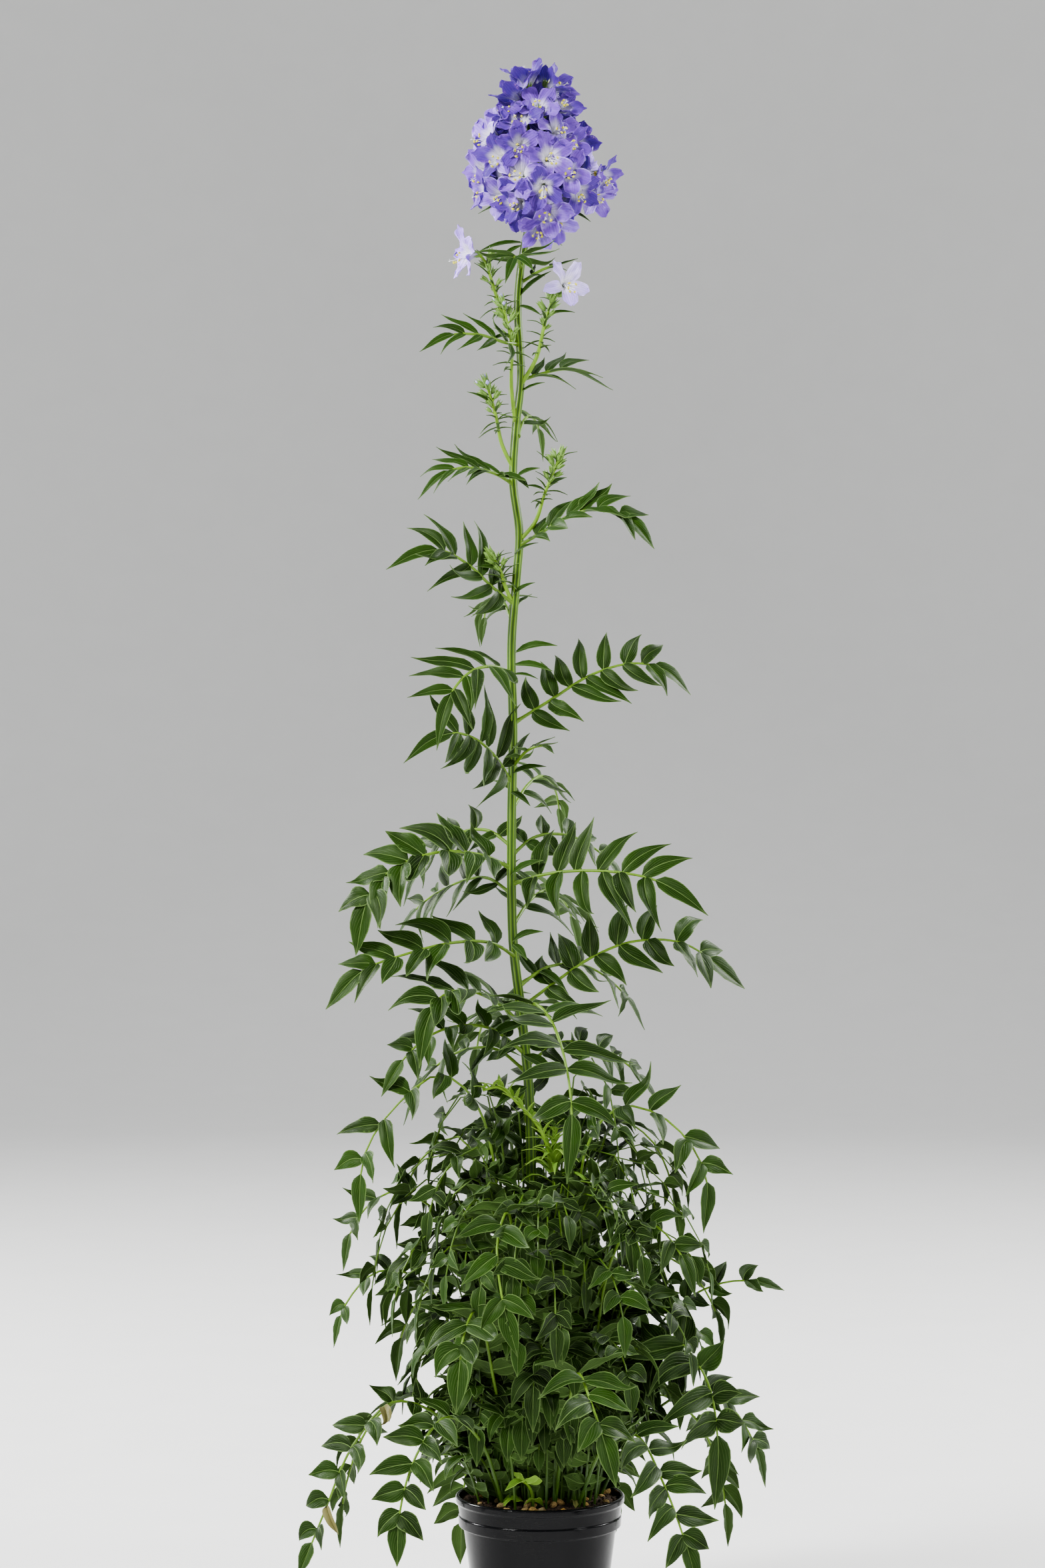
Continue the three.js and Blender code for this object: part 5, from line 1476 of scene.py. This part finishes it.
def make_pot():
    profile = [
        (0, BASE_RECESS),
        (BASE_RADIUS - 0.004, BASE_RECESS),
        (BASE_RADIUS - 0.003, 0),
        (BASE_RADIUS, 0),
        (BASE_RADIUS + EDGE, EDGE),
        (lerp(BASE_RADIUS, BODY_TOP_RADIUS, 0.5) + 0.5 * EDGE, BAND_FOOT * 0.5),
        (BODY_TOP_RADIUS, BAND_FOOT),
        (BAND_RADIUS, BAND_FOOT + 0.001),
        (BAND_RADIUS + 0.0003, BAND_FOOT + 0.007),
        (BAND_RADIUS - 0.0004, BAND_FOOT + 0.0078),
        (BAND_RADIUS + EDGE, RIM_FOOT - 0.001),
        (RIM_RADIUS, RIM_FOOT),
        (RIM_RADIUS, POT_HEIGHT - EDGE),
        (RIM_RADIUS - EDGE, POT_HEIGHT),
        (RIM_RADIUS - RIM_LIP, POT_HEIGHT),
        (BAND_RADIUS - POT_WALL, BAND_FOOT + 0.002),
        (BODY_TOP_RADIUS - POT_WALL, BAND_FOOT - 0.001),
        (BASE_RADIUS - POT_WALL, BASE_THICKNESS),
        (0, BASE_THICKNESS),
    ]
    pot = turned_piece("pot_fine", rounded(profile, CORNER_RADIUS), pot_material())
    drills = []
    for turn in turns(DRAIN_HOLES):
        place = polar(DRAIN_CIRCLE_RADIUS, turn)
        bpy.ops.mesh.primitive_cylinder_add(vertices=24, radius=DRAIN_HOLE_RADIUS, depth=4 * BASE_THICKNESS,
                                            location=place)
        drills.append(bpy.context.object)
        cut = pot.modifiers.new("drain", "BOOLEAN")
        cut.operation = "DIFFERENCE"
        cut.object = drills[-1]
    finished = bpy.data.meshes.new_from_object(pot.evaluated_get(bpy.context.evaluated_depsgraph_get()))
    pot.modifiers.clear()
    pot.data = finished
    for drill in drills:
        bpy.data.objects.remove(drill)
    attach(pot, "root")
    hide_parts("pot")


def soil_wall(height):
    """Radius of the soil at a height, just inside the pot."""
    if height < BAND_FOOT - 0.001:
        radius = lerp(BASE_RADIUS, BODY_TOP_RADIUS, (height - BASE_THICKNESS) / (BAND_FOOT - BASE_THICKNESS))
    else:
        share = (height - BAND_FOOT) / (POT_HEIGHT - BAND_FOOT)
        radius = lerp(BAND_RADIUS, RIM_RADIUS - RIM_LIP + POT_WALL, share)
    return radius - POT_WALL - SOIL_GAP


def soil_height(x, y):
    """Height of the soil's lumpy surface."""
    spread = min(1, math.hypot(x, y) / soil_wall(SOIL_LEVEL))
    lumps = noise.fractal(Vector((x, y, 0)) * 260, 0.9, 2.0, 4)
    return SOIL_LEVEL + SOIL_CROWN * (1 - spread) + SOIL_LUMPS * lumps


def add_rock(skin, radius, turn, sizes, lift, kind, rng):
    """An uneven rounded stone or crumb on the soil, raised by a share of its size."""
    size = rng.uniform(*sizes)
    tone = rng.random() if kind == PEBBLE else 0
    centre = polar(radius, turn)
    centre.z = soil_height(centre.x, centre.y) + lift * size
    build = bmesh.new()
    bmesh.ops.create_icosphere(build, subdivisions=2 if size > 0.002 else 1, radius=1)
    stretch = Vector((rng.uniform(0.8, 1.3), rng.uniform(0.8, 1.2), rng.uniform(0.6, 0.95)))
    spin = Matrix.Rotation(rng.uniform(0, 6.28), 3, "Z") @ Matrix.Rotation(rng.uniform(-0.6, 0.6), 3, "X")
    offset = Vector([rng.uniform(0, 50) for _ in range(3)])
    corners = {}
    for vert in build.verts:
        lump = 1 + 0.28 * noise.noise(vert.co * 1.4 + offset) + 0.12 * noise.noise(vert.co * 4 + offset)
        corners[vert] = skin.vertex(centre + spin @ (vert.co * lump * stretch * size), mark=(tone, 0, 0))
    for face in build.faces:
        skin.face(tuple(corners[vert] for vert in face.verts), kind)
    build.free()


def make_soil():
    rng = random.Random("soil")
    skin = Skin()
    wall = soil_wall(SOIL_LEVEL)
    rings = [(wall * (ring + 1) / SOIL_RINGS, None) for ring in range(SOIL_RINGS)]
    for height in (BAND_FOOT + 0.003, BAND_FOOT - 0.002, BASE_THICKNESS + 0.0003):
        rings.append((soil_wall(height), height))
    before = None
    for radius, height in rings:
        row = []
        for turn in turns(SOIL_SIDES):
            place = polar(radius, turn)
            place.z = soil_height(place.x, place.y) if height is None else height
            row.append(skin.vertex(place))
        if before:
            skin.strip(row, before, SOIL)
        else:
            skin.fan(row, skin.vertex(Vector((0, 0, soil_height(0, 0)))), SOIL)
        before = row
    skin.face(tuple(reversed(before)), SOIL)
    for _ in range(CRUMBS):
        radius = (wall - 0.002) * math.sqrt(rng.random())
        add_rock(skin, radius, rng.uniform(0, math.tau), CRUMB_SIZES, 0, SOIL, rng)
    for number in range(PEBBLES):
        radius = (wall - 0.004) * math.sqrt((number + 0.5) / PEBBLES)
        turn = number * GOLDEN_ANGLE + rng.uniform(-0.2, 0.2)
        add_rock(skin, radius, turn, PEBBLE_SIZES, 0.3, PEBBLE, rng)
    for _ in range(FRONT_PEBBLES):
        radius = rng.uniform(0.024, wall - 0.005)
        turn = math.radians(rng.uniform(-105, -55))
        add_rock(skin, radius, turn, FRONT_PEBBLE_SIZES, 0.5, PEBBLE, rng)
    make_piece("soil_fine", skin, ["soil"], [soil_material(), pebble_material()], sharp=80)


# Floor, light and camera, in metres and watts

FLOOR_FLAT = 3.4
FLOOR_RADIUS = 6.0
FLOOR_STEPS = 16
WALL_HEIGHT = 3.4
SKY_STRENGTH = 0.38
LIGHT_TARGET = Vector((0, 0, 0.5))
LIGHTS = [
    ("key", (-1.7, -1.4, 2.1), 0.7, 185),
    ("fill", (2.3, -1.4, 1.4), 1.0, 55),
    ("rim_left", (-2.0, 1.1, 1.6), 0.8, 140),
    ("rim_right", (2.0, 1.0, 1.8), 0.8, 155),
]


def make_floor():
    """A wide pale floor that curves up all round to a plain wall."""
    profile = [(0, 0)]
    for step in range(FLOOR_STEPS + 1):
        turn = 0.5 * math.pi * step / FLOOR_STEPS
        rise = (FLOOR_RADIUS - FLOOR_FLAT) * (1 - math.cos(turn))
        profile.append((lerp(FLOOR_FLAT, FLOOR_RADIUS, math.sin(turn)), rise))
    profile.append((FLOOR_RADIUS, WALL_HEIGHT))
    floor = turned_piece("floor", profile, floor_material())
    floor.location.z = cad_low.z


def make_light():
    world = bpy.data.worlds.new("studio")
    world.use_nodes = True
    sky = world.node_tree.nodes["Background"].inputs
    sky["Color"].default_value = (0.95, 0.97, 1.0, 1)
    sky["Strength"].default_value = SKY_STRENGTH
    bpy.context.scene.world = world
    for name, place, size, power in LIGHTS:
        lamp = bpy.data.lights.new(name, "AREA")
        lamp.shape = "DISK"
        lamp.size = size
        lamp.energy = power
        light = new_object(name, lamp)
        light.location = place
        light.rotation_euler = (LIGHT_TARGET - light.location).to_track_quat("-Z", "Y").to_euler()


def make_camera():
    data = bpy.data.cameras.new("camera")
    data.lens = LENS
    data.sensor_width = 36
    camera = new_object("camera", data)
    camera.location = MM * Vector((EYE_ACROSS, -EYE_DISTANCE, EYE_HEIGHT))
    camera.rotation_euler = (math.radians(90), 0, 0)
    bpy.context.scene.camera = camera


make_camera()
make_pot()
make_soil()
make_flower_stem()
make_leafy_shoot()
make_stem_fronds()
make_lesser_fronds()
make_crown_fronds()
make_small_foliage()
make_young_leaf()
make_fallen_leaves()
make_flower_head()
make_side_blooms()
make_floor()
make_light()
